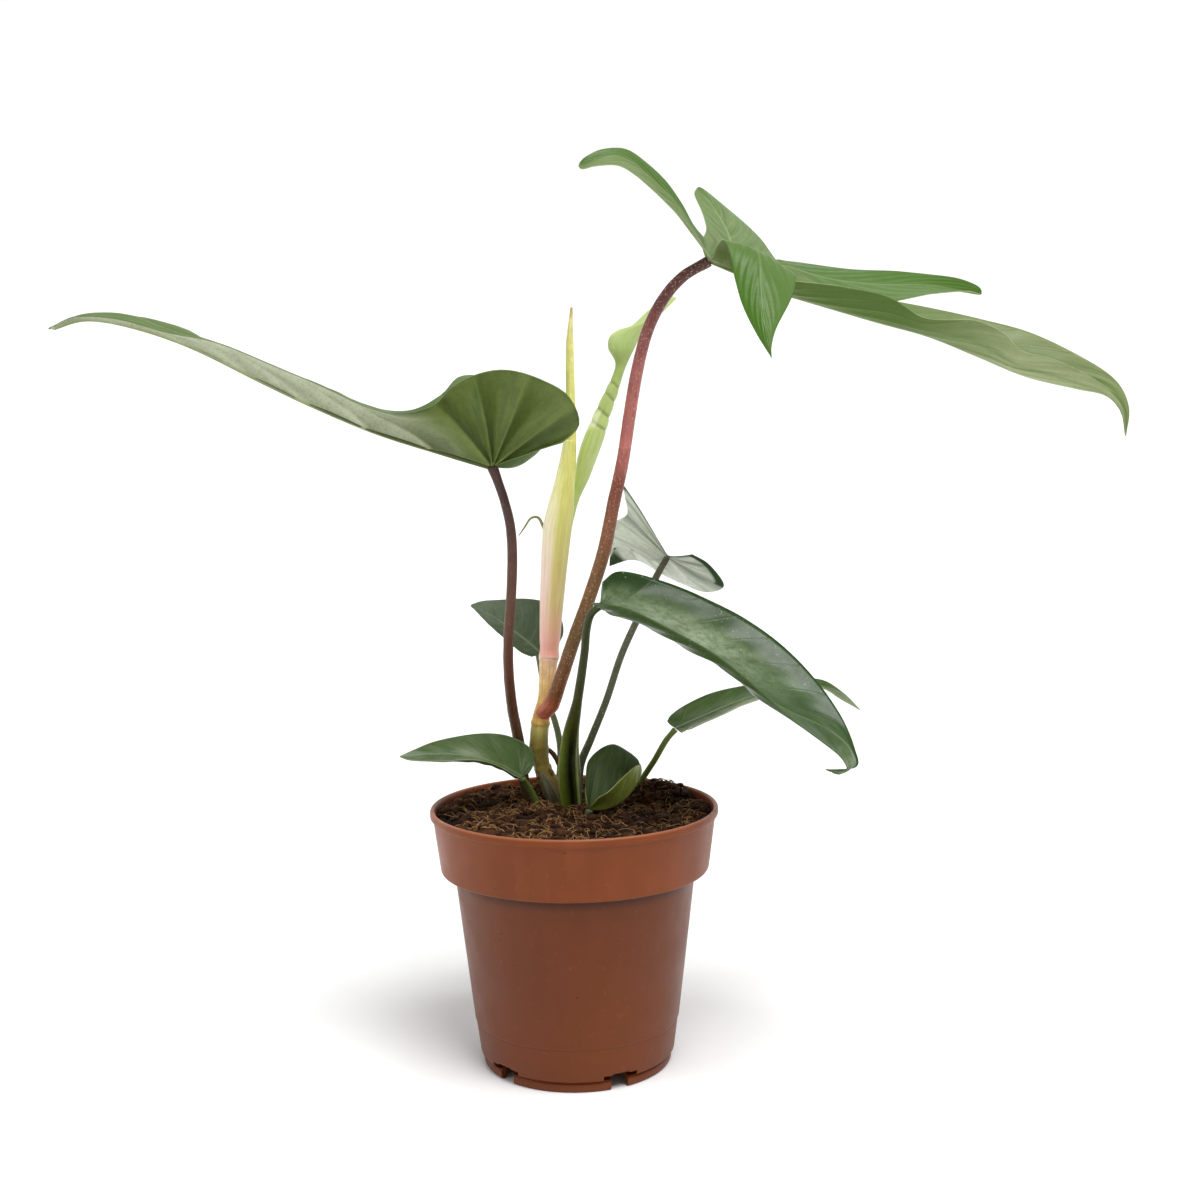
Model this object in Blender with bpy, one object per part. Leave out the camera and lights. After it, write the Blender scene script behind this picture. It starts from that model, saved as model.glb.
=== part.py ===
"""A potted philodendron: a leaning stem with two new shoots and eight leaves, in a plastic nursery pot.

Sizes are in millimetres and are turned into metres as each mesh is made. The origin is the middle of
the pot's underside, and +Z is up. The plant's points are measured from the middle of the soil's
surface, so the whole plant stands on the soil at whatever height the pot holds it.
"""

import math

import bmesh
import bpy
from mathutils import Vector

MM = 0.001

# The pot, turned round Z.
POT_HEIGHT = 108.0
LIP_RADIUS = 60.0
LIP_HEIGHT = 3.5
LIP_OUT = 1.2
BAND_HEIGHT = 26.0
BAND_TAPER = 2.8
BAND_OUT = 5.6
SHOULDER_RADIUS = 43.0
SHOULDER_HEIGHT = 19.0
SHOULDER_STEP = 0.4
FOOT_RADIUS = 39.5
FOOT_HEIGHT = 4.0
FOOT_STEP = 1.0
FOOT_ROUNDING = 1.2
WALL = 1.5
FLOOR = 2.0
POT_SIDES = 48

# Drainage notches round the foot.
NOTCHES = 5
NOTCH_WIDTH = 7.5
NOTCH_HEIGHT = 5.5
NOTCH_DEPTH = 9.0
SLOT_WIDTH = 16.0
SLOT_HEIGHT = 1.6
FIRST_NOTCH_ANGLE = -65.0

# The soil.
HEADSPACE = 4.0
SOIL_BUMP = 0.5
HEAP_HEIGHT = 5.0
HEAP_RADIUS = 17.0
HEAP_PLACE = (36.0, 27.0)
SOIL_SIDES = 32
SOIL_RINGS = 5

# The plant.
CLEARANCE = 0.3
FOLIAGE_SCALE = 1.0
STALK_THICKNESS = 1.0
BLADE_THICKNESS = 0.6
ROOTS = 5
ROOT_RADIUS = 1.7
ROOT_END_HEIGHT = 42.0
ROOT_END_MARGIN = 9.0
ROOT_SWAY = 4.0
ROOT_STEPS = 5
CROWN_RADIUS = 5.0
CROWN_DEPTH = 8.0
STALK_SIDES = 10
THIN_SIDES = 6

SOIL_TOP = POT_HEIGHT - HEADSPACE

# Stems and leaf stalks: points along the middle of each, and the radius at each point.
STEM = (
    [(-7, 28, -10), (-7, 28, -5), (-8, 28, -1), (-11, 29, 7), (-14, 30, 15), (-15, 30, 25), (-14, 30, 35),
     (-12, 29, 44), (-11, 28, 53), (-10, 28, 62)],
    [4.0, 4.0, 4.2, 4.4, 3.5, 4.1, 3.8, 3.2, 3.4, 4.0],
)
OLD_SHEATH = (
    [(-8, 20, -10), (-9, 20, 0), (-11, 20, 6), (-14, 21, 13)],
    [2.2, 2.8, 2.6, 1.2],
)
SPEAR_SHEATH = (
    [(-10, 28, 63), (-9, 28, 76), (-8, 28, 90), (-6, 28, 107), (-4, 29, 121), (-3, 29, 127)],
    [4.1, 4.6, 5.2, 6.0, 6.2, 5.6],
)
SPEAR = (
    [(-5, 29, 112), (-2, 30, 132), (0, 30, 145), (1, 30, 158), (1, 30, 175), (1, 30, 196), (2, 30, 212)],
    [3.8, 4.0, 3.2, 2.3, 2.0, 1.7, 0.5],
)
SHEATH_HOOK = (
    [(-11, 31, 117), (-13, 31, 122), (-16, 30, 123), (-19, 27, 119), (-22, 24, 116)],
    [0.9, 0.9, 0.8, 0.6, 0.4],
)
NEW_LEAF = (
    [(1, 37, 118), (5, 38, 135), (9, 38, 145), (12, 38, 156), (16, 38, 168), (19, 38, 177), (22, 38, 187),
     (23, 38, 195), (27, 39, 203), (35, 42, 209), (45, 47, 214)],
    [2.6, 3.8, 3.9, 3.6, 3.2, 3.0, 2.5, 4.2, 5.2, 3.6, 0.8],
)
AERIAL_ROOT = (
    [(-15, 31, 22), (-10, 34, 20), (-7, 35, 15), (-5, 36, 8), (-4, 37, 0), (-4, 37, -10)],
    [1.1, 1.1, 1.0, 1.0, 1.0, 0.9],
)
STALKS = {
    "left": (
        [(-17, 28, -10), (-20, 28, 0), (-22, 28, 10), (-23, 28, 20), (-24, 27, 28), (-26, 23, 41),
         (-27, 16, 57), (-27, 9, 73), (-25, 4, 90), (-24, 0, 109), (-24, -2, 124), (-28, -4, 136),
         (-31, -5, 144)],
        [2.4, 2.4, 2.4, 2.4, 2.4, 2.3, 2.2, 2.1, 2.1, 2.1, 2.0, 1.9, 1.8],
    ),
    "top": (
        [(-13, 29, 38), (-9, 24, 43), (-5, 19, 54), (1, 14, 72), (8, 10, 91), (14, 5, 110), (18, 2, 129),
         (22, 0, 147), (25, -3, 166), (28, -6, 183), (32, -9, 198), (38, -11, 210), (46, -13, 219),
         (55, -15, 224)],
        [3.2, 3.4, 3.0, 2.9, 2.8, 2.8, 2.7, 2.6, 2.6, 2.5, 2.4, 2.3, 2.2, 1.9],
    ),
    "front": (
        [(-1, 13, -10), (-1, 13, 0), (-2, 11, 17), (-1, 8, 32), (2, 0, 48), (5, -8, 68), (6, -14, 79),
         (8, -19, 86), (12, -22, 89)],
        [4.2, 4.6, 4.8, 3.4, 2.0, 1.7, 1.7, 1.6, 1.3],
    ),
    "back_right": (
        [(2, 43, -10), (2, 43, 0), (3, 43, 12), (8, 43, 24), (15, 43, 41), (22, 45, 61), (31, 47, 80),
         (38, 49, 95), (43, 50, 103)],
        [2.0, 2.0, 1.9, 1.7, 1.6, 1.6, 1.6, 1.6, 1.4],
    ),
    "back_left": (
        [(-8, 42, -10), (-7, 43, 0), (-6, 44, 12), (-6, 45, 21), (-8, 46, 31), (-12, 47, 43), (-14, 48, 54),
         (-15, 48, 61)],
        [1.6, 1.6, 1.5, 1.5, 1.4, 1.3, 1.3, 1.2],
    ),
    "right": (
        [(18, 29, -10), (24, 28, 0), (30, 27, 9), (35, 25, 17), (40, 23, 26), (44, 22, 31)],
        [1.7, 1.6, 1.3, 1.3, 1.3, 1.2],
    ),
    "low_left": (
        [(-14, 19, -10), (-16, 19, 0), (-18, 18, 5), (-20, 16, 9), (-22, 12, 13)],
        [1.5, 1.4, 1.3, 1.3, 1.2],
    ),
    "low_round": (
        [(4, 1, -10), (5, 1, -4), (6, 0, 1)],
        [1.6, 1.6, 1.5],
    ),
}

# Plain leaf blades. Each half's edge starts behind the stalk's joint and ends at the tip, and its
# first "behind" points fan round the joint. Left and right are as seen from above, facing the tip.
BLADES = {
    "left": {
        "midrib": [(-31, -5, 145), (-50, -6, 151), (-77, -9, 160), (-102, -12, 171), (-122, -14, 181),
                   (-147, -17, 194), (-169, -20, 202), (-187, -22, 205), (-201, -24, 201)],
        "left": [(-3, -26, 154), (4, -33, 161), (0, -38, 172), (-10, -40, 178), (-23, -40, 182),
                 (-34, -38, 181),
                 (-45, -33, 176), (-52, -28, 170), (-64, -24, 167), (-78, -23, 169), (-106, -24, 182),
                 (-134, -26, 194), (-155, -27, 199), (-174, -27, 204), (-190, -25, 205)],
        "right": [(-8, 28, 155), (-4, 34, 167), (-10, 38, 177), (-25, 38, 182), (-38, 36, 184),
                  (-47, 33, 183),
                  (-54, 26, 175), (-67, 20, 169), (-84, 16, 171), (-112, 12, 184), (-142, 8, 196),
                  (-169, 2, 206), (-190, -10, 207)],
        "behind": (7, 6),
        "fan_steps": 5,
        "bulge": (-0.05, -0.05),
    },
    "front": {
        "midrib": [(12, -22, 90), (28, -27, 85), (43, -32, 76), (59, -37, 68), (70, -40, 58), (83, -43, 50),
                   (98, -45, 43), (107, -46, 35), (108, -47, 28), (103, -48, 25), (97, -49, 27)],
        "left": [(14, -6, 100), (21, -1, 101), (35, 3, 98), (55, 2, 90), (71, -4, 82), (87, -12, 70),
                 (98, -22, 58), (106, -32, 45), (110, -40, 34), (110, -44, 27)],
        "right": [(7, -30, 93), (11, -40, 91), (24, -50, 86), (42, -54, 77), (55, -56, 70),
                  (66, -57, 62), (80, -57, 51), (95, -54, 39), (103, -51, 32), (105, -50, 27)],
        "behind": (2, 2),
        "fan_steps": 4,
        "bulge": (0.16, 0.12),
    },
    "back_right": {
        "midrib": [(43, 50, 104), (38, 58, 103), (32, 68, 102), (25, 76, 101), (18, 79, 98)],
        "left": [(54, 47, 105), (62, 51, 100), (69, 57, 90), (62, 64, 87), (50, 69, 91), (38, 74, 95),
                 (27, 78, 97)],
        "right": [(20, 67, 134), (23, 72, 124), (18, 76, 115), (19, 79, 107), (18, 80, 102)],
        "behind": (3, 2),
        "fan_steps": 4,
        "bulge": (-0.1, -0.1),
    },
    "back_left": {
        "midrib": [(-14, 47, 62), (-23, 52, 69), (-35, 60, 77), (-46, 66, 82)],
        "left": [(-18, 45, 61), (-23, 48, 63), (-30, 54, 68), (-38, 61, 74)],
        "right": [(-7, 45, 65), (-4, 44, 71), (-5, 44, 78), (-10, 46, 84), (-20, 50, 86), (-32, 57, 85),
                  (-41, 63, 84)],
        "behind": (1, 2),
        "fan_steps": 3,
        "bulge": (0.1, 0.1),
    },
    "right": {
        "midrib": [(44, 22, 32), (57, 20, 38), (75, 20, 45), (92, 24, 48), (108, 30, 48), (120, 34, 42),
                   (127, 36, 36)],
        "left": [(41, 27, 34), (43, 31, 36), (50, 34, 40), (62, 35, 45), (77, 35, 48), (95, 35, 50),
                 (109, 34, 50), (119, 36, 44)],
        "right": [(46, 11, 32), (53, 7, 37), (63, 6, 41), (73, 8, 45), (90, 15, 48), (107, 26, 48),
                  (117, 31, 42)],
        "behind": (2, 1),
        "fan_steps": 3,
        "bulge": (0.12, 0.12),
    },
    "low_left": {
        "midrib": [(-22, 11, 14), (-31, 4, 21), (-43, -2, 26), (-57, -7, 28), (-71, -11, 28)],
        "left": [(-22, 7, 14), (-25, 1, 17), (-32, -7, 23), (-41, -15, 27), (-55, -17, 27), (-66, -14, 27)],
        "right": [(-19, 13, 15), (-17, 16, 19), (-18, 18, 24), (-23, 19, 28), (-31, 18, 31), (-42, 14, 32),
                  (-57, 5, 31), (-66, -3, 29)],
        "behind": (1, 3),
        "fan_steps": 3,
        "bulge": (0.12, 0.12),
    },
    "low_round": {
        "midrib": [(6, 0, 2), (9, -2, 2), (14, -4, 3), (20, -3, 6), (25, 0, 11), (28, 4, 16), (28, 7, 19)],
        "left": [(5, 6, 13), (6, 9, 20), (11, 11, 25), (17, 12, 27), (23, 12, 24), (27, 10, 21)],
        "right": [(10, -9, 9), (14, -12, 12), (20, -9, 17), (25, -3, 20)],
        "behind": (2, 1),
        "fan_steps": 3,
        "bulge": (-0.08, 0.0),
    },
}

# The top leaf has five lobes round a small hub. Each lobe's edges and vein run from the hub to its tip,
# and each lobe's right edge starts where the next lobe's left edge does.
TOP_JOINT = (56, -15, 225)
TOP_LOBES = {
    "basal_right": {
        "left": [(55, -10, 235), (50, -17, 239), (45, -25, 246), (39, -32, 253), (31, -38, 259),
                 (23, -43, 263),
                 (15, -47, 263), (5, -52, 255)],
        "vein": [(54, -16, 231), (49, -22, 238), (43, -30, 245), (34, -38, 252), (25, -45, 258),
                 (17, -50, 259),
                 (5, -52, 255)],
        "right": [(57, -22, 227), (48, -27, 235), (42, -35, 241), (33, -44, 248), (25, -51, 253),
                  (19, -55, 255),
                  (11, -56, 255), (5, -52, 255)],
    },
    "side_right": {
        "left": [(57, -22, 227), (61, -31, 226), (64, -39, 214), (67, -45, 202), (71, -50, 191),
                 (76, -54, 184)],
        "vein": [(74, -29, 228), (74, -38, 215), (74, -46, 200), (76, -54, 184)],
        "right": [(88, -27, 216), (85, -38, 206), (79, -46, 196), (76, -51, 189), (76, -54, 184)],
    },
    "middle": {
        "left": [(88, -27, 216), (109, -25, 211), (131, -23, 208), (151, -21, 204), (172, -18, 199),
                 (193, -14, 192), (214, -9, 183), (228, -4, 172), (228, -4, 154)],
        "vein": [(90, -13, 214), (113, -12, 206), (138, -10, 199), (162, -8, 193), (187, -6, 187),
                 (209, -4, 179),
                 (223, -3, 174), (229, -4, 167), (228, -4, 154)],
        "right": [(92, 0, 222), (109, 6, 212), (129, 8, 203), (150, 7, 196), (170, 5, 187), (190, 3, 178),
                  (210, 0, 173), (224, -2, 171), (229, -4, 163), (228, -4, 154)],
    },
    "side_left": {
        "left": [(92, 0, 222), (112, 9, 217), (135, 20, 213), (159, 38, 218), (186, 62, 220)],
        "vein": [(90, 8, 227), (111, 22, 224), (135, 36, 223), (160, 50, 223), (186, 62, 220)],
        "right": [(87, 14, 229), (103, 28, 229), (123, 40, 228), (147, 50, 228), (171, 58, 226),
                  (186, 62, 220)],
    },
    "basal_left": {
        "left": [(87, 14, 229), (82, 24, 239), (75, 28, 247), (64, 26, 255), (55, 18, 259)],
        "vein": [(68, 4, 233), (66, 12, 242), (61, 18, 252), (55, 18, 259)],
        "right": [(55, -10, 235), (57, -2, 240), (56, 8, 248), (55, 18, 259)],
    },
}

EDGE_STEPS = 12
ACROSS_STEPS = 3
LOBE_STEPS = 8


def colour_of(red, green, blue, roughness):
    return {"colour": (red, green, blue, 1.0), "roughness": roughness}


POT_PLASTIC = colour_of(0.25, 0.07, 0.035, 0.5)
SOIL_PEAT = colour_of(0.04, 0.022, 0.014, 0.95)
STEM_GREEN = colour_of(0.3, 0.2, 0.05, 0.55)
ROOT_BROWN = colour_of(0.16, 0.1, 0.05, 0.8)
SHEATH_CREAM = colour_of(0.75, 0.7, 0.35, 0.5)
NEW_LEAF_LIME = colour_of(0.45, 0.6, 0.18, 0.45)
STALK_RED = colour_of(0.16, 0.05, 0.035, 0.4)
STALK_GREEN = colour_of(0.07, 0.1, 0.03, 0.45)
BLADE_GREEN = colour_of(0.06, 0.13, 0.03, 0.35)
STALK_COLOURS = {"left": STALK_RED, "top": STALK_RED}


def make_material(name, look):
    material = bpy.data.materials.new(name)
    material.use_nodes = True
    shader = material.node_tree.nodes["Principled BSDF"]
    shader.inputs["Base Color"].default_value = look["colour"]
    shader.inputs["Roughness"].default_value = look["roughness"]
    shader.inputs["Metallic"].default_value = 0.0
    return material


def add_object(name, mesh_data, look=None):
    """Turn a bmesh in millimetres into an object in metres. With no look it is a hidden cutter."""
    bmesh.ops.scale(mesh_data, vec=(MM, MM, MM), verts=mesh_data.verts)
    mesh = bpy.data.meshes.new(name)
    mesh_data.to_mesh(mesh)
    mesh_data.free()
    piece = bpy.data.objects.new(name, mesh)
    bpy.context.scene.collection.objects.link(piece)
    if look is None:
        piece.hide_render = True
        piece.display_type = "WIRE"
    else:
        mesh.materials.append(make_material(name, look))
        mesh.shade_smooth()
        mesh.set_sharp_from_angle(angle=math.radians(45))
    return piece


def cut(piece, cutter):
    boolean = piece.modifiers.new("cut " + cutter.name, "BOOLEAN")
    boolean.operation = "DIFFERENCE"
    boolean.solver = "EXACT"
    boolean.object = cutter


def join(piece, other):
    boolean = piece.modifiers.new("join " + other.name, "BOOLEAN")
    boolean.operation = "UNION"
    boolean.solver = "EXACT"
    boolean.object = other


def plant_point(point):
    """A point measured from the middle of the soil's surface, in the object's own frame."""
    return Vector(point) * FOLIAGE_SCALE + Vector((0, 0, SOIL_TOP))


def smooth_curve(points):
    """A function from 0..1 to a smooth curve through the points, at an even pace along it."""
    points = [Vector(point) for point in points]
    ends = [2 * points[0] - points[1]] + points + [2 * points[-1] - points[-2]]
    reach = [0.0]
    for before, after in zip(points, points[1:]):
        reach.append(reach[-1] + (after - before).length)

    def at(share):
        wanted = min(max(share, 0.0), 1.0) * reach[-1]
        span = 0
        while span < len(points) - 2 and reach[span + 1] < wanted:
            span += 1
        along = (wanted - reach[span]) / (reach[span + 1] - reach[span])
        p0, p1, p2, p3 = ends[span:span + 4]
        linear = (p2 - p0) * along
        square = (2 * p0 - 5 * p1 + 4 * p2 - p3) * along ** 2
        cube = (3 * p1 - p0 - 3 * p2 + p3) * along ** 3
        return p1 + 0.5 * (linear + square + cube)

    at.reach = [value / reach[-1] for value in reach]
    at.length = reach[-1]
    return at


def tube(route, grow=0.0, sides=STALK_SIDES):
    """A closed tube along a route, with its own radius at each point. Grow makes it fatter and longer."""
    points, radii = route
    points = [plant_point(point) for point in points]
    points[0] += (points[0] - points[1]).normalized() * grow
    points[-1] += (points[-1] - points[-2]).normalized() * grow
    curve = smooth_curve(points)
    shares = []
    for start, end in zip(curve.reach, curve.reach[1:]):
        shares += [start, (start + end) / 2]
    shares.append(1.0)
    places = [curve(share) for share in shares]
    widths = []
    for thin, wide in zip(radii, radii[1:]):
        widths += [thin, (thin + wide) / 2]
    widths.append(radii[-1])
    mesh_data = bmesh.new()
    rings = []
    side = Vector((1, 0, 0))
    for index, place in enumerate(places):
        onward = places[min(index + 1, len(places) - 1)] - places[max(index - 1, 0)]
        onward.normalize()
        side = (side - onward * side.dot(onward)).normalized()
        other = onward.cross(side)
        radius = widths[index] * STALK_THICKNESS + grow
        ring = []
        for step in range(sides):
            turn = 2 * math.pi * step / sides
            outward = side * math.cos(turn) + other * math.sin(turn)
            ring.append(mesh_data.verts.new(place + outward * radius))
        rings.append(ring)
    for lower, upper in zip(rings, rings[1:]):
        for step in range(sides):
            following = (step + 1) % sides
            mesh_data.faces.new((lower[step], lower[following], upper[following], upper[step]))
    mesh_data.faces.new(list(reversed(rings[0])))
    mesh_data.faces.new(rings[-1])
    return mesh_data


def turned(profile, sides):
    """A closed solid turned round Z from (radius, height) points, up its outside and in to the axis."""
    mesh_data = bmesh.new()
    rings = []
    for radius, height in profile:
        if radius == 0:
            rings.append([mesh_data.verts.new((0, 0, height))])
            continue
        ring = []
        for step in range(sides):
            turn = 2 * math.pi * step / sides
            ring.append(mesh_data.verts.new((radius * math.cos(turn), radius * math.sin(turn), height)))
        rings.append(ring)
    for lower, upper in zip(rings, rings[1:]):
        for step in range(sides):
            following = (step + 1) % sides
            corners = [lower[step % len(lower)], lower[following % len(lower)]]
            corners += [upper[following % len(upper)], upper[step % len(upper)]]
            mesh_data.faces.new(list(dict.fromkeys(corners)))
    return mesh_data


def body_top_radius():
    return LIP_RADIUS - LIP_OUT - BAND_TAPER - BAND_OUT


def inner_radius(height):
    """The inside radius of the pot's tapered body and band at a height."""
    band_bottom = POT_HEIGHT - BAND_HEIGHT
    if height > band_bottom + WALL:
        share = (height - band_bottom) / (BAND_HEIGHT - LIP_HEIGHT)
        return LIP_RADIUS - LIP_OUT - BAND_TAPER * (1 - min(share, 1.0)) - WALL
    share = (height - SHOULDER_HEIGHT) / (band_bottom - SHOULDER_HEIGHT)
    if share >= 0:
        return SHOULDER_RADIUS + (body_top_radius() - SHOULDER_RADIUS) * min(share, 1.0) - WALL
    share = (height - FOOT_HEIGHT) / (SHOULDER_HEIGHT - FOOT_HEIGHT)
    lowest = FOOT_RADIUS + FOOT_STEP
    return lowest + (SHOULDER_RADIUS - SHOULDER_STEP - lowest) * max(share, 0.0) - WALL


def make_pot():
    band_bottom = POT_HEIGHT - BAND_HEIGHT
    band_radius = LIP_RADIUS - LIP_OUT - BAND_TAPER
    lip_bottom = POT_HEIGHT - LIP_HEIGHT
    profile = [(0, 0)]
    for step in range(4):
        turn = math.pi / 2 * step / 3
        rounding = FOOT_ROUNDING
        radius = FOOT_RADIUS - rounding + rounding * math.sin(turn)
        profile.append((radius, rounding - rounding * math.cos(turn)))
    profile += [
        (FOOT_RADIUS, FOOT_HEIGHT - FOOT_STEP / 2),
        (FOOT_RADIUS + FOOT_STEP, FOOT_HEIGHT),
        (SHOULDER_RADIUS - SHOULDER_STEP, SHOULDER_HEIGHT - SHOULDER_STEP),
        (SHOULDER_RADIUS, SHOULDER_HEIGHT),
        (body_top_radius(), band_bottom),
        (band_radius, band_bottom + WALL / 3),
        (LIP_RADIUS - LIP_OUT, lip_bottom),
        (LIP_RADIUS, lip_bottom + LIP_OUT / 2),
        (LIP_RADIUS, POT_HEIGHT - LIP_OUT / 2),
        (LIP_RADIUS - LIP_OUT / 2, POT_HEIGHT),
        (LIP_RADIUS - LIP_OUT - WALL, POT_HEIGHT),
        (inner_radius(lip_bottom), lip_bottom),
        (band_radius - WALL, band_bottom + 2 * WALL),
        (inner_radius(band_bottom), band_bottom + WALL),
        (inner_radius(SHOULDER_HEIGHT), SHOULDER_HEIGHT),
        (inner_radius(FOOT_HEIGHT + WALL), FOOT_HEIGHT + WALL),
        (FOOT_RADIUS - WALL, FOOT_HEIGHT),
        (FOOT_RADIUS - WALL - FLOOR, FLOOR),
        (0, FLOOR),
    ]
    pot = add_object("pot", turned(profile, POT_SIDES), POT_PLASTIC)
    for index in range(NOTCHES):
        turn = math.radians(FIRST_NOTCH_ANGLE + 360 / NOTCHES * index)
        outward = Vector((math.cos(turn), math.sin(turn), 0))
        notch_size = (2 * NOTCH_DEPTH, NOTCH_WIDTH, 2 * NOTCH_HEIGHT)
        slot_size = (4 * WALL, SLOT_WIDTH, SLOT_HEIGHT)
        slot_height = Vector((0, 0, NOTCH_HEIGHT - SLOT_HEIGHT))
        for name, size, place in (("notch", notch_size, outward * FOOT_RADIUS),
                                  ("slot", slot_size, outward * FOOT_RADIUS + slot_height)):
            mesh_data = bmesh.new()
            bmesh.ops.create_cube(mesh_data, size=1.0)
            bmesh.ops.scale(mesh_data, vec=size, verts=mesh_data.verts)
            cutter = add_object(f"{name}_{index}", mesh_data)
            cutter.location = place * MM
            cutter.rotation_euler.z = turn
            cut(pot, cutter)


def soil_height(x, y):
    """The bumpy top of the soil, with a heap at the back."""
    bump = math.sin(x / 5.3 + 1.0) * math.cos(y / 6.1) + 0.6 * math.sin(x / 3.1 - y / 4.3)
    away = math.hypot(x - HEAP_PLACE[0], y - HEAP_PLACE[1]) / HEAP_RADIUS
    heap = HEAP_HEIGHT * max(0.0, 1 - away ** 2)
    return SOIL_TOP - 1.0 + SOIL_BUMP * bump + heap


def make_soil(cutters):
    band_bottom = POT_HEIGHT - BAND_HEIGHT
    foot_top = FOOT_HEIGHT + WALL
    profile = [(0, FLOOR + CLEARANCE)]
    profile.append((FOOT_RADIUS - WALL - FLOOR - CLEARANCE, FLOOR + CLEARANCE))
    profile.append((FOOT_RADIUS - WALL - 2 * CLEARANCE, foot_top))
    for height in (foot_top + WALL, SHOULDER_HEIGHT - CLEARANCE, SHOULDER_HEIGHT + WALL):
        profile.append((inner_radius(height) - 2 * CLEARANCE, height))
    profile.append((body_top_radius() - WALL - 2 * CLEARANCE, band_bottom + WALL))
    profile.append((inner_radius(band_bottom) - CLEARANCE, band_bottom + 3 * WALL))
    edge_radius = inner_radius(SOIL_TOP - HEADSPACE) - 2 * CLEARANCE
    mesh_data = turned(profile + [(edge_radius, SOIL_TOP - HEADSPACE)], SOIL_SIDES)
    below = [vertex for vertex in mesh_data.verts if vertex.co.z > SOIL_TOP - HEADSPACE - 0.01]
    for ring_index in range(SOIL_RINGS, -1, -1):
        radius = edge_radius * ring_index / SOIL_RINGS
        count = SOIL_SIDES if ring_index else 1
        ring = []
        for step in range(count):
            turn = 2 * math.pi * step / SOIL_SIDES
            x = radius * math.cos(turn)
            y = radius * math.sin(turn)
            ring.append(mesh_data.verts.new((x, y, soil_height(x, y))))
        for step in range(SOIL_SIDES):
            following = (step + 1) % SOIL_SIDES
            corners = [below[step], below[following], ring[following % count], ring[step % count]]
            mesh_data.faces.new(list(dict.fromkeys(corners)))
        below = ring
    soil = add_object("soil", mesh_data, SOIL_PEAT)
    for cutter in cutters:
        cut(soil, cutter)


def root_route(index):
    """One thick root, which leaves the crown and wanders down to its end inside the pot's wall."""
    turn = 2 * math.pi * (index + 0.3) / ROOTS
    crown = Vector(STEM[0][0]) - Vector((0, 0, CROWN_DEPTH / 2))
    reach = inner_radius(ROOT_END_HEIGHT) - ROOT_END_MARGIN
    end = Vector((reach * math.cos(turn), reach * math.sin(turn), ROOT_END_HEIGHT - SOIL_TOP)) / FOLIAGE_SCALE
    points = []
    radii = []
    for step in range(ROOT_STEPS + 1):
        share = step / ROOT_STEPS
        point = crown.lerp(end, share)
        point.z = crown.z + (end.z - crown.z) * share ** 1.5
        sway = ROOT_SWAY * math.sin(math.pi * share) * math.sin(5 * share + index)
        point += Vector((-math.sin(turn), math.cos(turn), 0)) * sway
        points.append(point)
        radii.append(ROOT_RADIUS * (1 - 0.6 * share))
    return points, radii


def crown_route():
    foot = Vector(STEM[0][0])
    top = foot - Vector((0, 0, CLEARANCE))
    middle = foot - Vector((0, 0, CROWN_DEPTH * 0.5))
    bottom = foot - Vector((0, 0, CROWN_DEPTH))
    return [top, middle, bottom], [STEM[1][0], CROWN_RADIUS, CROWN_RADIUS * 0.5]


def make_buried_roots():
    """The crown and its roots, joined, and the fatter shape that makes room for them in the soil."""
    roots = add_object("buried_roots", tube(crown_route()), ROOT_BROWN)
    room = add_object("buried_roots_room", tube(crown_route(), CLEARANCE))
    for index in range(ROOTS):
        join(roots, add_object(f"root_{index}", tube(root_route(index), sides=THIN_SIDES)))
        join(room, add_object(f"root_room_{index}", tube(root_route(index), CLEARANCE, sides=THIN_SIDES)))
    return room


def blade_half(mesh_data, midrib, shape, side, hole):
    """One half of a blade. Its first rows fan round the joint, and the rest run on along the midrib.

    The fan starts outside a small hole, where the stalk's end goes.
    """
    side_number = ("left", "right").index(side)
    edge = smooth_curve([plant_point(point) for point in shape[side] + shape["midrib"][-1:]])
    turn_share = edge.reach[shape["behind"][side_number]]
    bulge = shape["bulge"][side_number]
    sign = (-1, 1)[side_number]
    fan_steps = shape["fan_steps"]
    rows = [(0.0, turn_share * step / fan_steps) for step in range(fan_steps)]
    for step in range(EDGE_STEPS + 1):
        share = step / EDGE_STEPS
        rows.append((share, turn_share + (1 - turn_share) * share))
    joint = midrib(0.0)
    first_share = hole / midrib.length
    grid = []
    for index, (rib_share, edge_share) in enumerate(rows):
        end = edge(edge_share)
        if index < fan_steps:
            start = joint + (end - joint).normalized() * hole
        else:
            start = midrib(first_share + (1 - first_share) * rib_share)
        before = edge(rows[max(index - 1, 0)][1])
        after = edge(rows[min(index + 1, len(rows) - 1)][1])
        across = end - start
        upward = (after - before).cross(across) * sign
        if upward.length > 0:
            upward.normalize()
        row = []
        for step in range(ACROSS_STEPS + 1):
            share = step / ACROSS_STEPS
            lift = upward * bulge * across.length * 4 * share * (1 - share)
            row.append(mesh_data.verts.new(start + across * share + lift))
        grid.append(row)
    return grid


def fill_grid(mesh_data, grid, flip=False):
    """Faces between the grid's rows. They face up where a row runs to the right, or to the left with flip."""
    for row, following in zip(grid, grid[1:]):
        for step in range(len(row) - 1):
            corners = [row[step], row[step + 1], following[step + 1], following[step]]
            mesh_data.faces.new(list(reversed(corners)) if flip else corners)


def close_sheet(mesh_data):
    """Merge the shared points of a sheet and drop faces that merging flattened."""
    bmesh.ops.remove_doubles(mesh_data, verts=mesh_data.verts, dist=0.05)
    bmesh.ops.dissolve_degenerate(mesh_data, edges=mesh_data.edges, dist=0.05)


def thicken(piece):
    """Give a blade its thickness below its upper face, where a folded blade has room."""
    solidify = piece.modifiers.new("thickness", "SOLIDIFY")
    solidify.thickness = BLADE_THICKNESS * MM
    solidify.offset = -1.0


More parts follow.
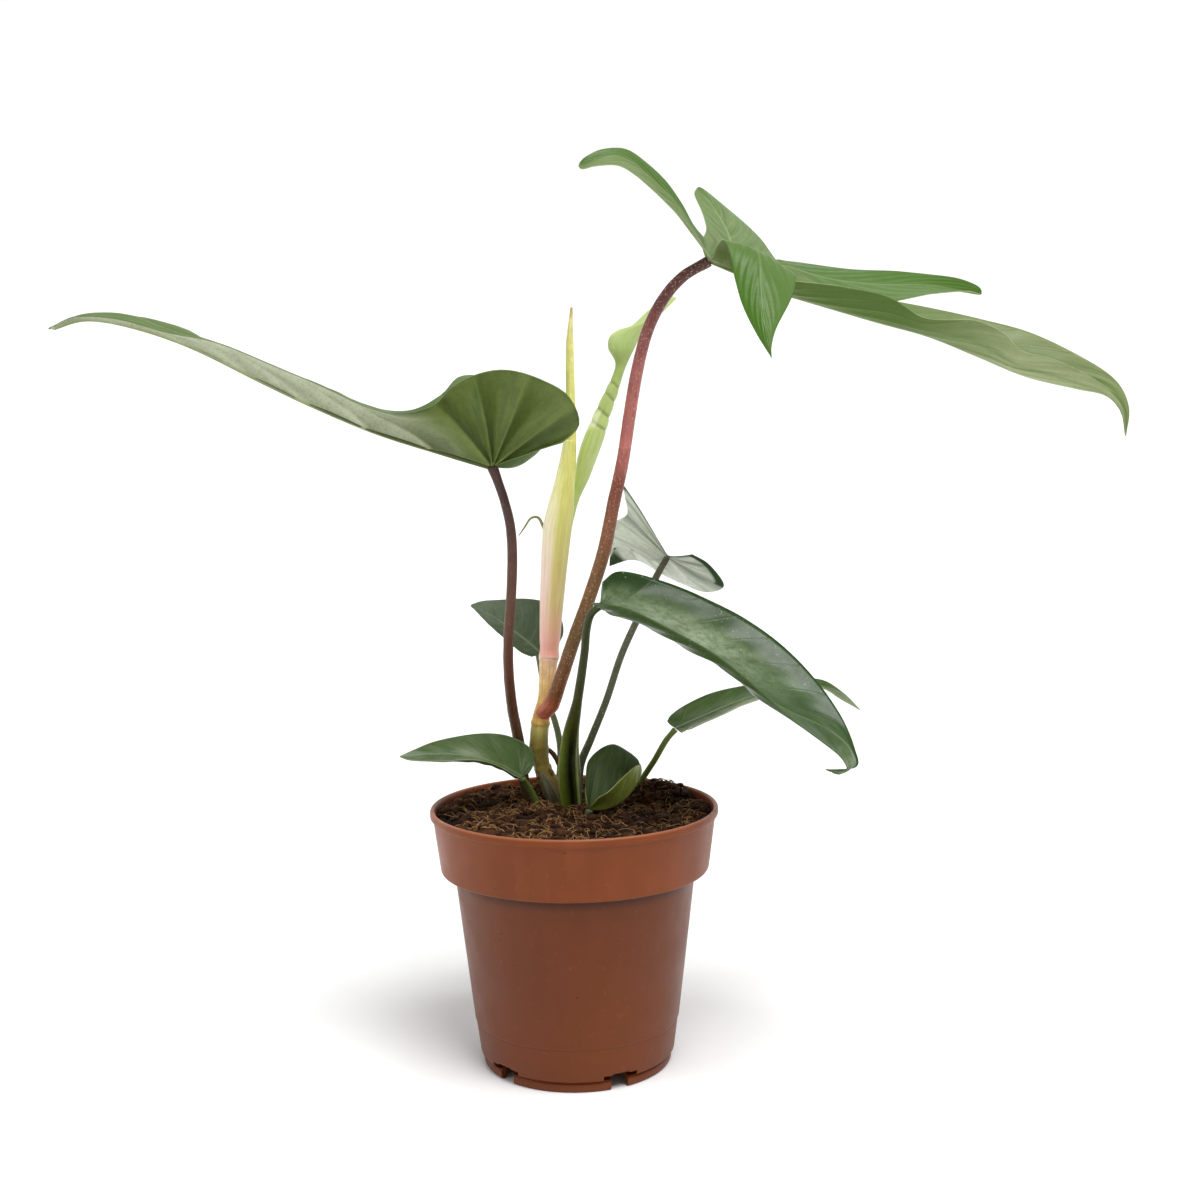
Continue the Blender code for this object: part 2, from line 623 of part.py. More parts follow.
def make_blade(name, shape, stalk_room):
    mesh_data = bmesh.new()
    midrib = smooth_curve([plant_point(point) for point in shape["midrib"]])
    hole = STALKS[name][1][-1] * STALK_THICKNESS + CLEARANCE
    for side in ("left", "right"):
        grid = blade_half(mesh_data, midrib, shape, side, hole)
        fill_grid(mesh_data, grid, flip=side == "left")
    close_sheet(mesh_data)
    blade = add_object(f"{name}_leaf_blade", mesh_data, BLADE_GREEN)
    thicken(blade)
    cut(blade, stalk_room)


def make_top_blade(stalk_room):
    mesh_data = bmesh.new()
    joint = plant_point(TOP_JOINT)
    for lobe in TOP_LOBES.values():
        curves = []
        for line in ("left", "vein", "right"):
            curves.append(smooth_curve([plant_point(point) for point in lobe[line]]))
        left, vein, right = curves
        grid = []
        for step in range(LOBE_STEPS + 1):
            share = step / LOBE_STEPS
            middle = vein(share)
            quarter_left = (left(share) + middle) / 2
            quarter_right = (right(share) + middle) / 2
            line = [left(share), quarter_left, middle, quarter_right, right(share)]
            grid.append([mesh_data.verts.new(point) for point in line])
        hub_rows = []
        for share in (0.0, 0.5):
            hub_rows.append([mesh_data.verts.new(joint.lerp(vertex.co, share)) for vertex in grid[0]])
        fill_grid(mesh_data, hub_rows + grid)
    close_sheet(mesh_data)
    blade = add_object("top_leaf_blade", mesh_data, BLADE_GREEN)
    thicken(blade)
    cut(blade, stalk_room)


def make_stem_and_shoots():
    """The stem, the new shoots on it and the aerial root. Returns the room that each takes in the soil."""
    rooms = {}
    for name, route in (("stem", STEM), ("old_sheath", OLD_SHEATH), ("spear_sheath", SPEAR_SHEATH),
                        ("spear", SPEAR), ("aerial_root", AERIAL_ROOT)):
        rooms[name] = add_object(name + "_room", tube(route, CLEARANCE))
    add_object("stem", tube(STEM), STEM_GREEN)
    add_object("old_sheath_base", tube(OLD_SHEATH), STALK_GREEN)
    sheath = add_object("spear_sheath", tube(SPEAR_SHEATH), SHEATH_CREAM)
    cut(sheath, rooms["spear"])
    add_object("spear_leaf", tube(SPEAR), SHEATH_CREAM)
    hook = add_object("sheath_hook", tube(SHEATH_HOOK, sides=THIN_SIDES), ROOT_BROWN)
    cut(hook, rooms["spear_sheath"])
    new_leaf = add_object("new_leaf", tube(NEW_LEAF), NEW_LEAF_LIME)
    cut(new_leaf, rooms["spear_sheath"])
    cut(new_leaf, rooms["spear"])
    aerial_root = add_object("aerial_root", tube(AERIAL_ROOT, sides=THIN_SIDES), ROOT_BROWN)
    cut(aerial_root, rooms["stem"])
    return rooms


def make_leaves(stem_room):
    """Every stalk with its blade. Returns the room that each stalk takes."""
    rooms = {}
    for name, route in STALKS.items():
        rooms[name] = add_object(f"{name}_stalk_room", tube(route, CLEARANCE))
        stalk = add_object(f"{name}_leaf_stalk", tube(route), STALK_COLOURS.get(name, STALK_GREEN))
        if name == "top":
            cut(stalk, stem_room)
            make_top_blade(rooms[name])
        else:
            make_blade(name, BLADES[name], rooms[name])
    return rooms


def main():
    for piece in list(bpy.data.objects):
        bpy.data.objects.remove(piece, do_unlink=True)
    make_pot()
    roots_room = make_buried_roots()
    shoot_rooms = make_stem_and_shoots()
    stalk_rooms = make_leaves(shoot_rooms["stem"])
    in_soil = [shoot_rooms["stem"], shoot_rooms["old_sheath"], shoot_rooms["aerial_root"], roots_room]
    in_soil += [room for name, room in stalk_rooms.items() if name != "top"]
    make_soil(in_soil)


main()
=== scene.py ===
"""Looks for a potted philodendron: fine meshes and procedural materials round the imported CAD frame.

Sizes are in millimetres and are turned into metres as each mesh is made. The plant's points are
measured from the middle of the soil's surface, as in the CAD model.
"""

import math
import random

import bmesh
import bpy
from mathutils import Matrix, Vector, noise


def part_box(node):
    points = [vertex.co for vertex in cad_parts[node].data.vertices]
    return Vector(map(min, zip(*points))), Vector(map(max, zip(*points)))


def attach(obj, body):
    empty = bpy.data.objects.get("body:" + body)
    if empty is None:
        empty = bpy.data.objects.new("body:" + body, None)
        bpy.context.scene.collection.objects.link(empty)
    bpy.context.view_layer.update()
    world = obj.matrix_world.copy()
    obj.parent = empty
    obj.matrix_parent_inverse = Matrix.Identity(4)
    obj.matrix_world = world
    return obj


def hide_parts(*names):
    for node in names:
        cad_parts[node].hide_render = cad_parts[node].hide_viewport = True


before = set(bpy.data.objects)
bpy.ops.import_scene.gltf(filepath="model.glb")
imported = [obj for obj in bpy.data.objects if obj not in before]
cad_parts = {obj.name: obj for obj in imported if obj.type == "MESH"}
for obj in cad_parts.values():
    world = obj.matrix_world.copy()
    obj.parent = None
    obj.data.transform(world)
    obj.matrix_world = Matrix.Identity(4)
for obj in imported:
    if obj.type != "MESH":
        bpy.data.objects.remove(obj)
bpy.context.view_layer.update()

MM = 0.001
BODY = "root"

POT_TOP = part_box("pot")[1].z / MM
LIP_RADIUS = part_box("pot")[1].x / MM
HEADSPACE = 4.0
SOIL_TOP = POT_TOP - HEADSPACE

# Materials.


def srgb(red, green, blue):
    """A colour given as 0..255 display values, as the shader wants it."""
    values = []
    for value in (red, green, blue):
        share = value / 255
        values.append(share / 12.92 if share <= 0.04045 else ((share + 0.055) / 1.055) ** 2.4)
    return (*values, 1.0)


class Finish:
    """Builds the nodes of one material. A tuple of three numbers is a colour in display values.

    The colour is laid on in coats: base gives the first one, and each call of over adds another.
    """

    def __init__(self, name, **numbers):
        self.material = bpy.data.materials.new(name)
        self.material.use_nodes = True
        self.tree = self.material.node_tree
        self.shader = self.tree.nodes["Principled BSDF"]
        self.colour = None
        for key, value in numbers.items():
            self.shader.inputs[key.replace("_", " ")].default_value = value

    def feed(self, socket, value):
        if isinstance(value, bpy.types.NodeSocket):
            self.tree.links.new(value, socket)
        else:
            socket.default_value = srgb(*value) if isinstance(value, tuple) else value

    def add(self, kind, inputs, **settings):
        made = self.tree.nodes.new("ShaderNode" + kind)
        for key, value in settings.items():
            setattr(made, key, value)
        for key, value in inputs.items():
            self.feed(made.inputs[key], value)
        return made

    def place(self):
        return self.add("TexCoord", {}).outputs["Object"]

    def attribute(self, name):
        """A vector attribute's three numbers."""
        vector = self.add("Attribute", {}, attribute_name=name).outputs["Vector"]
        return self.add("SeparateXYZ", {0: vector}).outputs

    def vector(self, x, y, z):
        return self.add("CombineXYZ", {0: x, 1: y, 2: z}).outputs[0]

    def calc(self, operation, first, second=0.0):
        return self.add("Math", {0: first, 1: second}, operation=operation).outputs[0]

    def times(self, first, second):
        return self.calc("MULTIPLY", first, second)

    def noise(self, scale, detail=3.0, where=None, roughness=0.55):
        inputs = {"Vector": where or self.place(), "Scale": scale, "Detail": detail, "Roughness": roughness}
        return self.add("TexNoise", inputs).outputs["Fac"]

    def ramp(self, share, *stops):
        """Colours or plain values, each at its place along 0..1."""
        made = self.add("ValToRGB", {"Fac": share})
        points = made.color_ramp.elements
        while len(points) < len(stops):
            points.new(0.5)
        for point, (place, _) in zip(points, stops):
            point.position = place
        for point, (_, colour) in zip(points, stops):
            point.color = srgb(*colour) if isinstance(colour, tuple) else (colour, colour, colour, 1.0)
        return made.outputs["Color"]

    def mix(self, share, first, second, blend="MIX"):
        made = self.add("Mix", {0: share, 6: first, 7: second}, data_type="RGBA", blend_type=blend)
        return made.outputs[2]

    def base(self, colour):
        self.colour = colour

    def over(self, colour, share, *stops):
        """Lay a colour over what is there, as strongly as the share says, or as its stops make of it."""
        self.colour = self.mix(self.ramp(share, *stops) if stops else share, self.colour, colour)

    def filtered(self, colour, tint):
        return self.mix(1.0, colour, tint, "MULTIPLY")

    def finish(self, roughness, heights):
        """The colour, roughness and a stack of (height, distance in mm) bumps into the shader."""
        self.feed(self.shader.inputs["Base Color"], self.colour)
        self.feed(self.shader.inputs["Roughness"], roughness)
        normal = None
        for height, distance in heights:
            inputs = {"Height": height, "Distance": distance * MM, "Strength": 1.0}
            if normal is not None:
                inputs["Normal"] = normal
            normal = self.add("Bump", inputs).outputs["Normal"]
        if normal is not None:
            self.feed(self.shader.inputs["Normal"], normal)
        return self.material


CALM_GREY = (195.7, 195.7, 195.7)
FOLD_SHADE_TINT = (122, 132, 84)
FAR_TINT = (196, 200, 176)
FLECK_COLOUR = (214, 222, 205)


def leaf_finish(name, look, side):
    """One face of a leaf: streaks that follow its side veins, painted shade in its folds, pale veins and
    fine mottling.
    """
    dark, light, vein, far = look[side]
    coat = Finish(name, Coat_Weight=look["gloss"], Coat_Roughness=0.25, Specular_IOR_Level=0.2)
    vein_place, across, along = coat.attribute("leaf")
    pale, deep, calm = coat.attribute("tone")
    across_size = coat.calc("ABSOLUTE", across)
    between_veins = coat.calc("FRACT", vein_place)

    follow = coat.vector(vein_place, coat.times(across, 0.7), 0.0)
    streak = coat.ramp(coat.noise(1.6, 4.0, follow, 0.65), (0.3, 0.0), (0.7, 1.0))
    calmed = coat.mix(coat.times(calm, 0.9), streak, CALM_GREY)
    coat.base(coat.mix(calmed, dark, light))
    # Toward the far end the blade turns to its far tone; on the left blade's underside this is a painted
    # reflection sheen.
    away = coat.ramp(along, (look["far_from"], 0.0), (look["far_to"], 1.0))
    coat.over(far, coat.times(away, coat.ramp(streak, (0.0, 0.65), (1.0, 1.0))))
    coat.over(light, coat.noise(55.0, 4.0), (0.35, 0.0), (0.75, 0.35))
    coat.over(dark, coat.noise(900.0, 3.0), (0.45, 0.0), (0.8, 0.35))

    # Painted shade: the folds between the side veins are darkened, most near the stalk.
    fold_shade = coat.ramp(between_veins, (0.0, 0.0), (0.45, 0.2), (0.92, 1.0), (1.0, 0.0))
    fold_shade = coat.times(fold_shade, coat.ramp(across_size, (0.0, look["folds"]), (0.95, look["folds"] * 0.4)))
    near = coat.ramp(along, (0.12, 1.0), (0.4, 0.25))
    coat.over(coat.filtered(coat.colour, FOLD_SHADE_TINT), coat.times(fold_shade, near))

    mottle = coat.ramp(coat.noise(420.0, 4.0), (0.36, 1 - look["mottle"]), (0.6, 1.0))
    # Where the tone's pale share says, the far tone is laid on: a paler real tone on some lobes, painted
    # sheen and painted highlights on others.
    coat.over(coat.mix(streak, coat.filtered(far, FAR_TINT), far), coat.times(pale, mottle))
    coat.over(look["deep"], deep)

    beat = coat.times(coat.calc("ABSOLUTE", coat.calc("SUBTRACT", between_veins, 0.5)), 2.0)
    veins = coat.times(coat.ramp(beat, (0.90, 0.0), (1.0, 1.0)), coat.calc("SUBTRACT", 1.0, calm))
    coat.over(vein, coat.times(veins, coat.ramp(across_size, (0.55, look["veins"]), (0.97, 0.0))))
    rib = coat.ramp(across_size, (0.0, 1.0), (0.022, 0.7), (0.05, 0.0))
    coat.over(vein, coat.times(rib, coat.calc("SUBTRACT", 0.8, coat.times(calm, 0.6))))

    flecks = coat.ramp(coat.noise(900.0, 4.0), (0.62, 0.0), (0.70, look["flecks"]))
    flecks = coat.times(flecks, coat.ramp(coat.noise(70.0, 3.0), (0.45, 0.0), (0.6, 0.8)))
    coat.over(FLECK_COLOUR, coat.times(flecks, coat.ramp(along, (0.45, 1.0), (0.7, 0.1))))
    roughness = coat.ramp(coat.noise(260.0, 3.0), (0.3, look["rough"] - 0.06), (0.8, look["rough"] + 0.1))
    return coat.finish(roughness, [(coat.noise(700.0, 3.0), 0.05), (veins, 0.12)])


def rim_finish(name, colour):
    """The thin edge of a leaf."""
    coat = Finish(name)
    coat.base(coat.filtered(colour, coat.ramp(coat.noise(220.0, 3.0), (0.3, 0.75), (0.7, 1.1))))
    return coat.finish(0.5, [(coat.noise(900.0), 0.03)])


def stalk_finish(name, stops, speck, specks=0.5, rough=0.36, streaks=0.35, gloss=0.06, around=None):
    """A stalk's skin. Its colour runs through the stops from end to end, under streaks and specks.

    Around gives stops round the stalk instead, for its lower part.
    """
    coat = Finish(name, Coat_Weight=gloss, Coat_Roughness=0.3, Specular_IOR_Level=0.25)
    east, north, along = coat.attribute("skin")
    length, turn, _ = coat.attribute("reach")
    coat.base(coat.ramp(length, *stops))
    if around:
        coat.over(coat.ramp(turn, *around), length, (0.34, 1.0), (0.5, 0.0))
    lines = coat.noise(1.1, 4.0, coat.vector(east, north, coat.times(along, 0.06)), 0.6)
    coat.over(coat.filtered(coat.colour, (150, 135, 115)), lines, (0.42, 0.0), (0.72, streaks))
    points = coat.noise(2.2, 2.0, coat.vector(east, north, coat.times(along, 0.45)))
    coat.over(speck, points, (0.60, 0.0), (0.72, specks))
    soft = coat.noise(0.25, 2.0, coat.vector(east, north, along))
    coat.base(coat.filtered(coat.colour, coat.ramp(soft, (0.25, 0.82), (0.75, 1.12))))
    roughness = coat.ramp(points, (0.3, rough - 0.05), (0.7, rough + 0.12))
    return coat.finish(roughness, [(lines, 0.10), (points, 0.05)])


def pot_finish():
    """Brown moulded plastic with dust, painted shade on the body under the band, a painted shadow just
    under the band and a painted highlight on the lip.
    """
    coat = Finish("terracotta_plastic", Coat_Weight=0.03, Coat_Roughness=0.35, Specular_IOR_Level=0.2)
    place = coat.place()
    x, y, z = coat.add("SeparateXYZ", {0: place}).outputs
    coat.base((112, 53, 18))
    coat.over((134, 66, 26), coat.noise(14.0, 5.0, place), (0.3, 0.0), (0.7, 1.0))
    flow = coat.vector(coat.times(x, 110.0), coat.times(y, 110.0), coat.times(z, 14.0))
    streak = coat.noise(1.0, 4.0, flow)
    coat.over((142, 76, 40), streak, (0.45, 0.0), (0.8, 0.30))
    height = coat.times(z, 10.0)
    # Painted shade: the body below the band is darkened, most of all just under the band.
    coat.over((84, 40, 13), height, (0.76, 0.55), (0.80, 0.75), (0.815, 0.95), (0.825, 0.0))
    # Painted shadow: a dark strip just under the band, where the band's shadow falls.
    coat.over((38, 16, 8), height, (0.77, 0.0), (0.812, 0.8), (0.820, 0.8), (0.822, 0.0))
    # Painted highlight: the top of the lip is lightened.
    coat.over((176, 112, 82), coat.times(z, 5.0), (0.5375, 0.0), (0.5388, 0.5))
    coat.over((160, 100, 72), coat.noise(420.0, 3.0), (0.62, 0.0), (0.85, 0.25))
    dots = coat.add("TexVoronoi", {"Vector": place, "Scale": 210.0}, feature="F1").outputs["Distance"]
    chosen = coat.ramp(coat.noise(42.0, 1.0), (0.59, 0.0), (0.63, 0.9))
    coat.over((50, 26, 19), coat.times(coat.ramp(dots, (0.05, 1.0), (0.11, 0.0)), chosen))
    roughness = coat.ramp(coat.noise(60.0, 4.0), (0.3, 0.36), (0.75, 0.52))
    return coat.finish(roughness, [(coat.noise(1100.0, 2.0), 0.03), (streak, 0.05)])


def soil_finish(name, dark, light, fleck):
    """Crumbly ground in two tones, darker in wide patches, with small flecks."""
    coat = Finish(name, Specular_IOR_Level=0.12)
    grain = coat.noise(330.0, 6.0, None, 0.7)
    coat.base(dark)
    coat.over(light, grain, (0.35, 0.0), (0.7, 1.0))
    coat.over(dark, coat.noise(60.0, 3.0), (0.42, 0.0), (0.62, 0.85))
    coat.over(fleck, coat.noise(1700.0, 3.0), (0.62, 0.0), (0.75, 0.55))
    return coat.finish(0.92, [(grain, 0.8), (coat.noise(1400.0, 4.0), 0.25)])


# Mesh helpers.


def plant_point(point):
    return Vector(point) + Vector((0, 0, SOIL_TOP))


def smooth_curve(points):
    """A function from 0..1 to a smooth curve through the points, at an even pace along it."""
    points = [Vector(point) for point in points]
    ends = [2 * points[0] - points[1]] + points + [2 * points[-1] - points[-2]]
    reach = [0.0]
    for before, after in zip(points, points[1:]):
        reach.append(reach[-1] + (after - before).length)

    def at(share):
        wanted = min(max(share, 0.0), 1.0) * reach[-1]
        span = 0
        while span < len(points) - 2 and reach[span + 1] < wanted:
            span += 1
        along = (wanted - reach[span]) / (reach[span + 1] - reach[span])
        p0, p1, p2, p3 = ends[span:span + 4]
        linear = (p2 - p0) * along
        square = (2 * p0 - 5 * p1 + 4 * p2 - p3) * along ** 2
        cube = (3 * p1 - p0 - 3 * p2 + p3) * along ** 3
        return p1 + 0.5 * (linear + square + cube)

    at.reach = [value / reach[-1] for value in reach]
    at.length = reach[-1]
    return at


def plant_curve(points):
    return smooth_curve([plant_point(point) for point in points])


def between(values, places, share):
    """The value at a share of the way, by straight lines between the values at the places."""
    for index in range(len(places) - 1):
        if share <= places[index + 1]:
            gap = (share - places[index]) / (places[index + 1] - places[index])
            return values[index] + (values[index + 1] - values[index]) * gap
    return values[-1]


class Surface:
    """Points, faces and shader coordinates that become one mesh. A face leaves out repeated corners."""

    def __init__(self):
        self.points = []
        self.faces = []
        self.extra = {}

    def point(self, place, **coordinates):
        self.points.append(Vector(place))
        for name, value in coordinates.items():
            self.extra.setdefault(name, []).append(value)
        return len(self.points) - 1

    def face(self, corners):
        corners = list(dict.fromkeys(corners))
        if len(corners) > 2:
            self.faces.append(corners)

    def grid(self, rows, flip=False, closed=False):
        for row, following in zip(rows, rows[1:]):
            count = len(row) if closed else len(row) - 1
            for step in range(count):
                side = (step + 1) % len(row)
                corners = [row[step], row[side], following[side], following[step]]
                self.face(reversed(corners) if flip else corners)

    def tube(self, rings):
        """Rings of points joined into a tube with closed ends."""
        self.grid(rings, closed=True)
        self.face(reversed(rings[0]))
        self.face(rings[-1])

    def mesh(self, name, merge=False):
        mesh = bpy.data.meshes.new(name)
        mesh.from_pydata([point * MM for point in self.points], [], self.faces)
        for label, values in self.extra.items():
            layer = mesh.attributes.new(label, "FLOAT_VECTOR", "POINT")
            layer.data.foreach_set("vector", [number for value in values for number in value])
        if merge:
            joined = bmesh.new()
            joined.from_mesh(mesh)
            bmesh.ops.remove_doubles(joined, verts=joined.verts, dist=0.02 * MM)
            bmesh.ops.dissolve_degenerate(joined, edges=joined.edges, dist=0.005 * MM)
            joined.to_mesh(mesh)
            joined.free()
        mesh.shade_smooth()
        return mesh


def add_piece(name, mesh, finishes, slot, *replaced):
    for finish in finishes:
        mesh.materials.append(finish)
    piece = bpy.data.objects.new(name, mesh)
    bpy.context.scene.collection.objects.link(piece)
    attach(piece, BODY)
    if replaced:
        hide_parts(*replaced)
    return piece


def add_tube(name, finish, slot, replaced, points, radii, sides, spacing, shape=None):
    """A piece that is one tube, in place of a CAD piece."""
    surface = tube_surface(points, radii, sides, spacing, shape)
    add_piece(name, surface.mesh(name), [finish], slot, replaced)


def tube_surface(points, radii, sides, spacing, shape=None, surface=None):
    """A tube along a smooth route. Shape(share, turn) scales its radius, for grooves, rings and lumps."""
    surface = surface or Surface()
    curve = plant_curve(points)
    steps = max(8, int(curve.length / spacing))
    side = Vector((1, 0, 0))
    rows = []
    places = [curve(step / steps) for step in range(steps + 1)]
    for index, place in enumerate(places):
        share = index / steps
        onward = (places[min(index + 1, steps)] - places[max(index - 1, 0)]).normalized()
        side = (side - onward * side.dot(onward)).normalized()
        other = onward.cross(side)
        radius = between(radii, curve.reach, share)
        row = []
        for step in range(sides):
            turn = math.tau * step / sides
            size = radius * (shape(share, turn) if shape else 1.0)
            out = side * math.cos(turn) + other * math.sin(turn)
            skin = (math.cos(turn) * radius, math.sin(turn) * radius, share * curve.length)
            row.append(surface.point(place + out * size, skin=skin, reach=(share, turn / math.tau, radius)))
        rows.append(row)
    surface.tube(rows)
    return surface


def bell(value, middle, width):
    return math.exp(-((value - middle) / width) ** 2)


def climb(value, start, width):
    """From 0 at the start to 1 a width further."""
    return min(1.0, max(0.0, (value - start) / width))


def ring(radius, sides):
    """The x and y of points round a circle."""
    turns = [math.tau * step / sides for step in range(sides)]
    return [(radius * math.cos(turn), radius * math.sin(turn)) for turn in turns]


def lumps(share, turn, round_scale, long_scale):
    """Noise over a tube's skin, without a seam."""
    across = Vector((math.cos(turn), math.sin(turn), 0.0)) * round_scale
    return noise.noise(across + Vector((0.0, 0.0, share * long_scale)))


def turn_gap(turn, middle):
    """How far round one angle is from another, as 0..pi."""
    return abs((turn - middle + math.pi) % math.tau - math.pi)


FRONT = -math.pi / 2

# Pot.

LIP_HEIGHT = 3.5
LIP_OUT = 1.2
BAND_HEIGHT = 26.0
BAND_TAPER = 2.8
BODY_TOP_RADIUS = 50.4
SHOULDER_RADIUS = 43.0
SHOULDER_HEIGHT = 19.0
FOOT_RADIUS = 39.5
WALL = 1.5
POT_SIDES = 180
NOTCHES = 5
FIRST_NOTCH_ANGLE = -65.0
NOTCH_SIZE = (12.0, 7.5, 14.4)
SLOT_SIZE = (6.0, 15.0, 2.0)
SLOT_HEIGHT = 5.6
FLOOR_UNDER = 7.6
FLOOR_OVER = 9.2
SHARP_EDGE = 38
BOX_SIDES = ((0, 2, 3, 1), (4, 5, 7, 6), (0, 1, 5, 4), (2, 6, 7, 3), (0, 4, 6, 2), (1, 3, 7, 5))


def rounded(profile, radius=0.35):
    """The profile with each corner eased by a short bevel, so that edges catch the light."""
    eased = [profile[0]]
    for before, corner, after in zip(profile, profile[1:], profile[2:]):
        back = Vector(before) - Vector(corner)
        ahead = Vector(after) - Vector(corner)
        size = min(radius, back.length * 0.4, ahead.length * 0.4)
        start = Vector(corner) + back.normalized() * size
        end = Vector(corner) + ahead.normalized() * size
        middle = (start + end) / 2 * 0.5 + Vector(corner) * 0.5
        eased += [tuple(start), tuple(middle), tuple(end)]
    eased.append(profile[-1])
    return eased


def pot_profile():
    """Radius and height: from the middle of the underside, up the outside, over the lip and down again."""
    band_bottom = POT_TOP - BAND_HEIGHT
    band_radius = LIP_RADIUS - LIP_OUT - BAND_TAPER
    lip_bottom = POT_TOP - LIP_HEIGHT
    return [
        (0.0, FLOOR_UNDER), (FOOT_RADIUS - 3.4, FLOOR_UNDER), (FOOT_RADIUS - 2.4, 0.0),
        (FOOT_RADIUS - 0.8, 0.0),
        (FOOT_RADIUS, 0.8), (FOOT_RADIUS, 3.3), (FOOT_RADIUS - 0.7, 3.9), (FOOT_RADIUS + 0.4, 4.5),
        (FOOT_RADIUS + 1.3, 5.2),
        (SHOULDER_RADIUS - 0.5, SHOULDER_HEIGHT - 1.0), (SHOULDER_RADIUS - 0.55, SHOULDER_HEIGHT - 0.3),
        (SHOULDER_RADIUS, SHOULDER_HEIGHT + 0.3),
        (BODY_TOP_RADIUS, band_bottom), (band_radius - 0.4, band_bottom + 0.2),
        (band_radius, band_bottom + 0.9),
        (LIP_RADIUS - LIP_OUT, lip_bottom), (LIP_RADIUS, lip_bottom + 0.6), (LIP_RADIUS, POT_TOP - 0.7),
        (LIP_RADIUS - 0.5, POT_TOP), (LIP_RADIUS - 1.5, POT_TOP - 0.1), (LIP_RADIUS - 2.0, POT_TOP - 0.9),
        (LIP_RADIUS - 2.7, lip_bottom), (band_radius - WALL, band_bottom + 2 * WALL),
        (BODY_TOP_RADIUS - WALL, band_bottom + WALL), (SHOULDER_RADIUS - WALL, SHOULDER_HEIGHT),
        (FOOT_RADIUS - 0.4, FLOOR_OVER), (0.0, FLOOR_OVER),
    ]


def add_box(size, place):
    """A box that only cuts, standing at the place with its sides turned outward."""
    box = Surface()
    for corner in range(8):
        box.point([(0.5 if corner >> axis & 1 else -0.5) * size[axis] for axis in range(3)])
    for corners in BOX_SIDES:
        box.face(corners)
    cutter = bpy.data.objects.new("cutter", box.mesh("cutter"))
    bpy.context.scene.collection.objects.link(cutter)
    turn = math.atan2(place.y, place.x)
    cutter.matrix_world = Matrix.Translation(place * MM) @ Matrix.Rotation(turn, 4, "Z")
    return cutter


def make_pot():
    surface = Surface()
    rows = []
    for radius, height in rounded(pot_profile()):
        if radius == 0.0:
            rows.append([surface.point((0, 0, height))] * POT_SIDES)
            continue
        rows.append([surface.point((x, y, height)) for x, y in ring(radius, POT_SIDES)])
    surface.grid(rows, closed=True)
    pot = bpy.data.objects.new("pot_cutting", surface.mesh("pot_shell"))
    bpy.context.scene.collection.objects.link(pot)
    cutters = []
    for index in range(NOTCHES):
        turn = math.radians(FIRST_NOTCH_ANGLE + 360 / NOTCHES * index)
        outward = Vector((math.cos(turn), math.sin(turn), 0))
        for size, height in ((NOTCH_SIZE, 0.0), (SLOT_SIZE, SLOT_HEIGHT)):
            cutters.append(add_box(size, outward * FOOT_RADIUS + Vector((0, 0, height))))
            boolean = pot.modifiers.new("notch", "BOOLEAN")
            boolean.solver = "EXACT"
            boolean.object = cutters[-1]
    bpy.context.view_layer.update()
    graph = bpy.context.evaluated_depsgraph_get()
    mesh = bpy.data.meshes.new_from_object(pot.evaluated_get(graph))
    for helper in [pot] + cutters:
        bpy.data.objects.remove(helper, do_unlink=True)
    mesh.materials.clear()
    mesh.shade_smooth()
    mesh.set_sharp_from_angle(angle=math.radians(SHARP_EDGE))
    add_piece("pot_shell", mesh, [pot_finish()], "pot", "pot")


# Soil.

SOIL_RADIUS = 57.0
HEAP_PLACE = Vector((36.0, 27.0))
HEAP_RADIUS = 17.0
HEAP_HEIGHT = 5.5
SOIL_RISE = 1.9
SOIL_SIDES = 120
SOIL_RINGS = 56
SOIL_UNDER = FLOOR_OVER + 0.4
CRUMBS = 950
CRUMB_SIZES = (0.5, 0.7, 0.9, 1.2, 1.7, 2.3)
CRUMB_SIDES = 7
CRUMB_LEVELS = 4
FIBRES = 1500
FIBRE_STEPS = 5


def soil_height(x, y):
    """Rough ground that rises a little toward the rim, with a heap at the back right."""
    rough = noise.fractal(Vector((x, y, 3.0)) / 9.0, 0.8, 2.1, 4) * 1.6
    fine = noise.noise(Vector((x, y, 9.0)) / 1.9) * 1.1
    away = (Vector((x, y)) - HEAP_PLACE).length / HEAP_RADIUS
    heap = HEAP_HEIGHT * max(0.0, 1 - away ** 2)
    rise = SOIL_RISE * min(1.0, (math.hypot(x, y) / SOIL_RADIUS) ** 2)
    return SOIL_TOP - 0.4 + rough + fine + heap + rise


def make_soil_bed():
    surface = Surface()
    rows = [[surface.point((0, 0, SOIL_UNDER))] * SOIL_SIDES]
    sides = ((38.0, SOIL_UNDER), (SOIL_RADIUS - 10.0, POT_TOP - 27.5), (SOIL_RADIUS - 4.5, POT_TOP - 21.0))
    for radius, height in sides:
        rows.append([surface.point((x, y, height)) for x, y in ring(radius, SOIL_SIDES)])
    for level in range(SOIL_RINGS, 0, -1):
        around = ring(SOIL_RADIUS * level / SOIL_RINGS, SOIL_SIDES)
        rows.append([surface.point((x, y, soil_height(x, y))) for x, y in around])
    rows.append([surface.point((0, 0, soil_height(0, 0)))] * SOIL_SIDES)
    surface.grid(rows, closed=True)
    peat = soil_finish("peat", (14, 9, 6), (98, 60, 36), (112, 84, 58))
    add_piece("soil_bed", surface.mesh("soil_bed"), [peat], "soil", "soil")


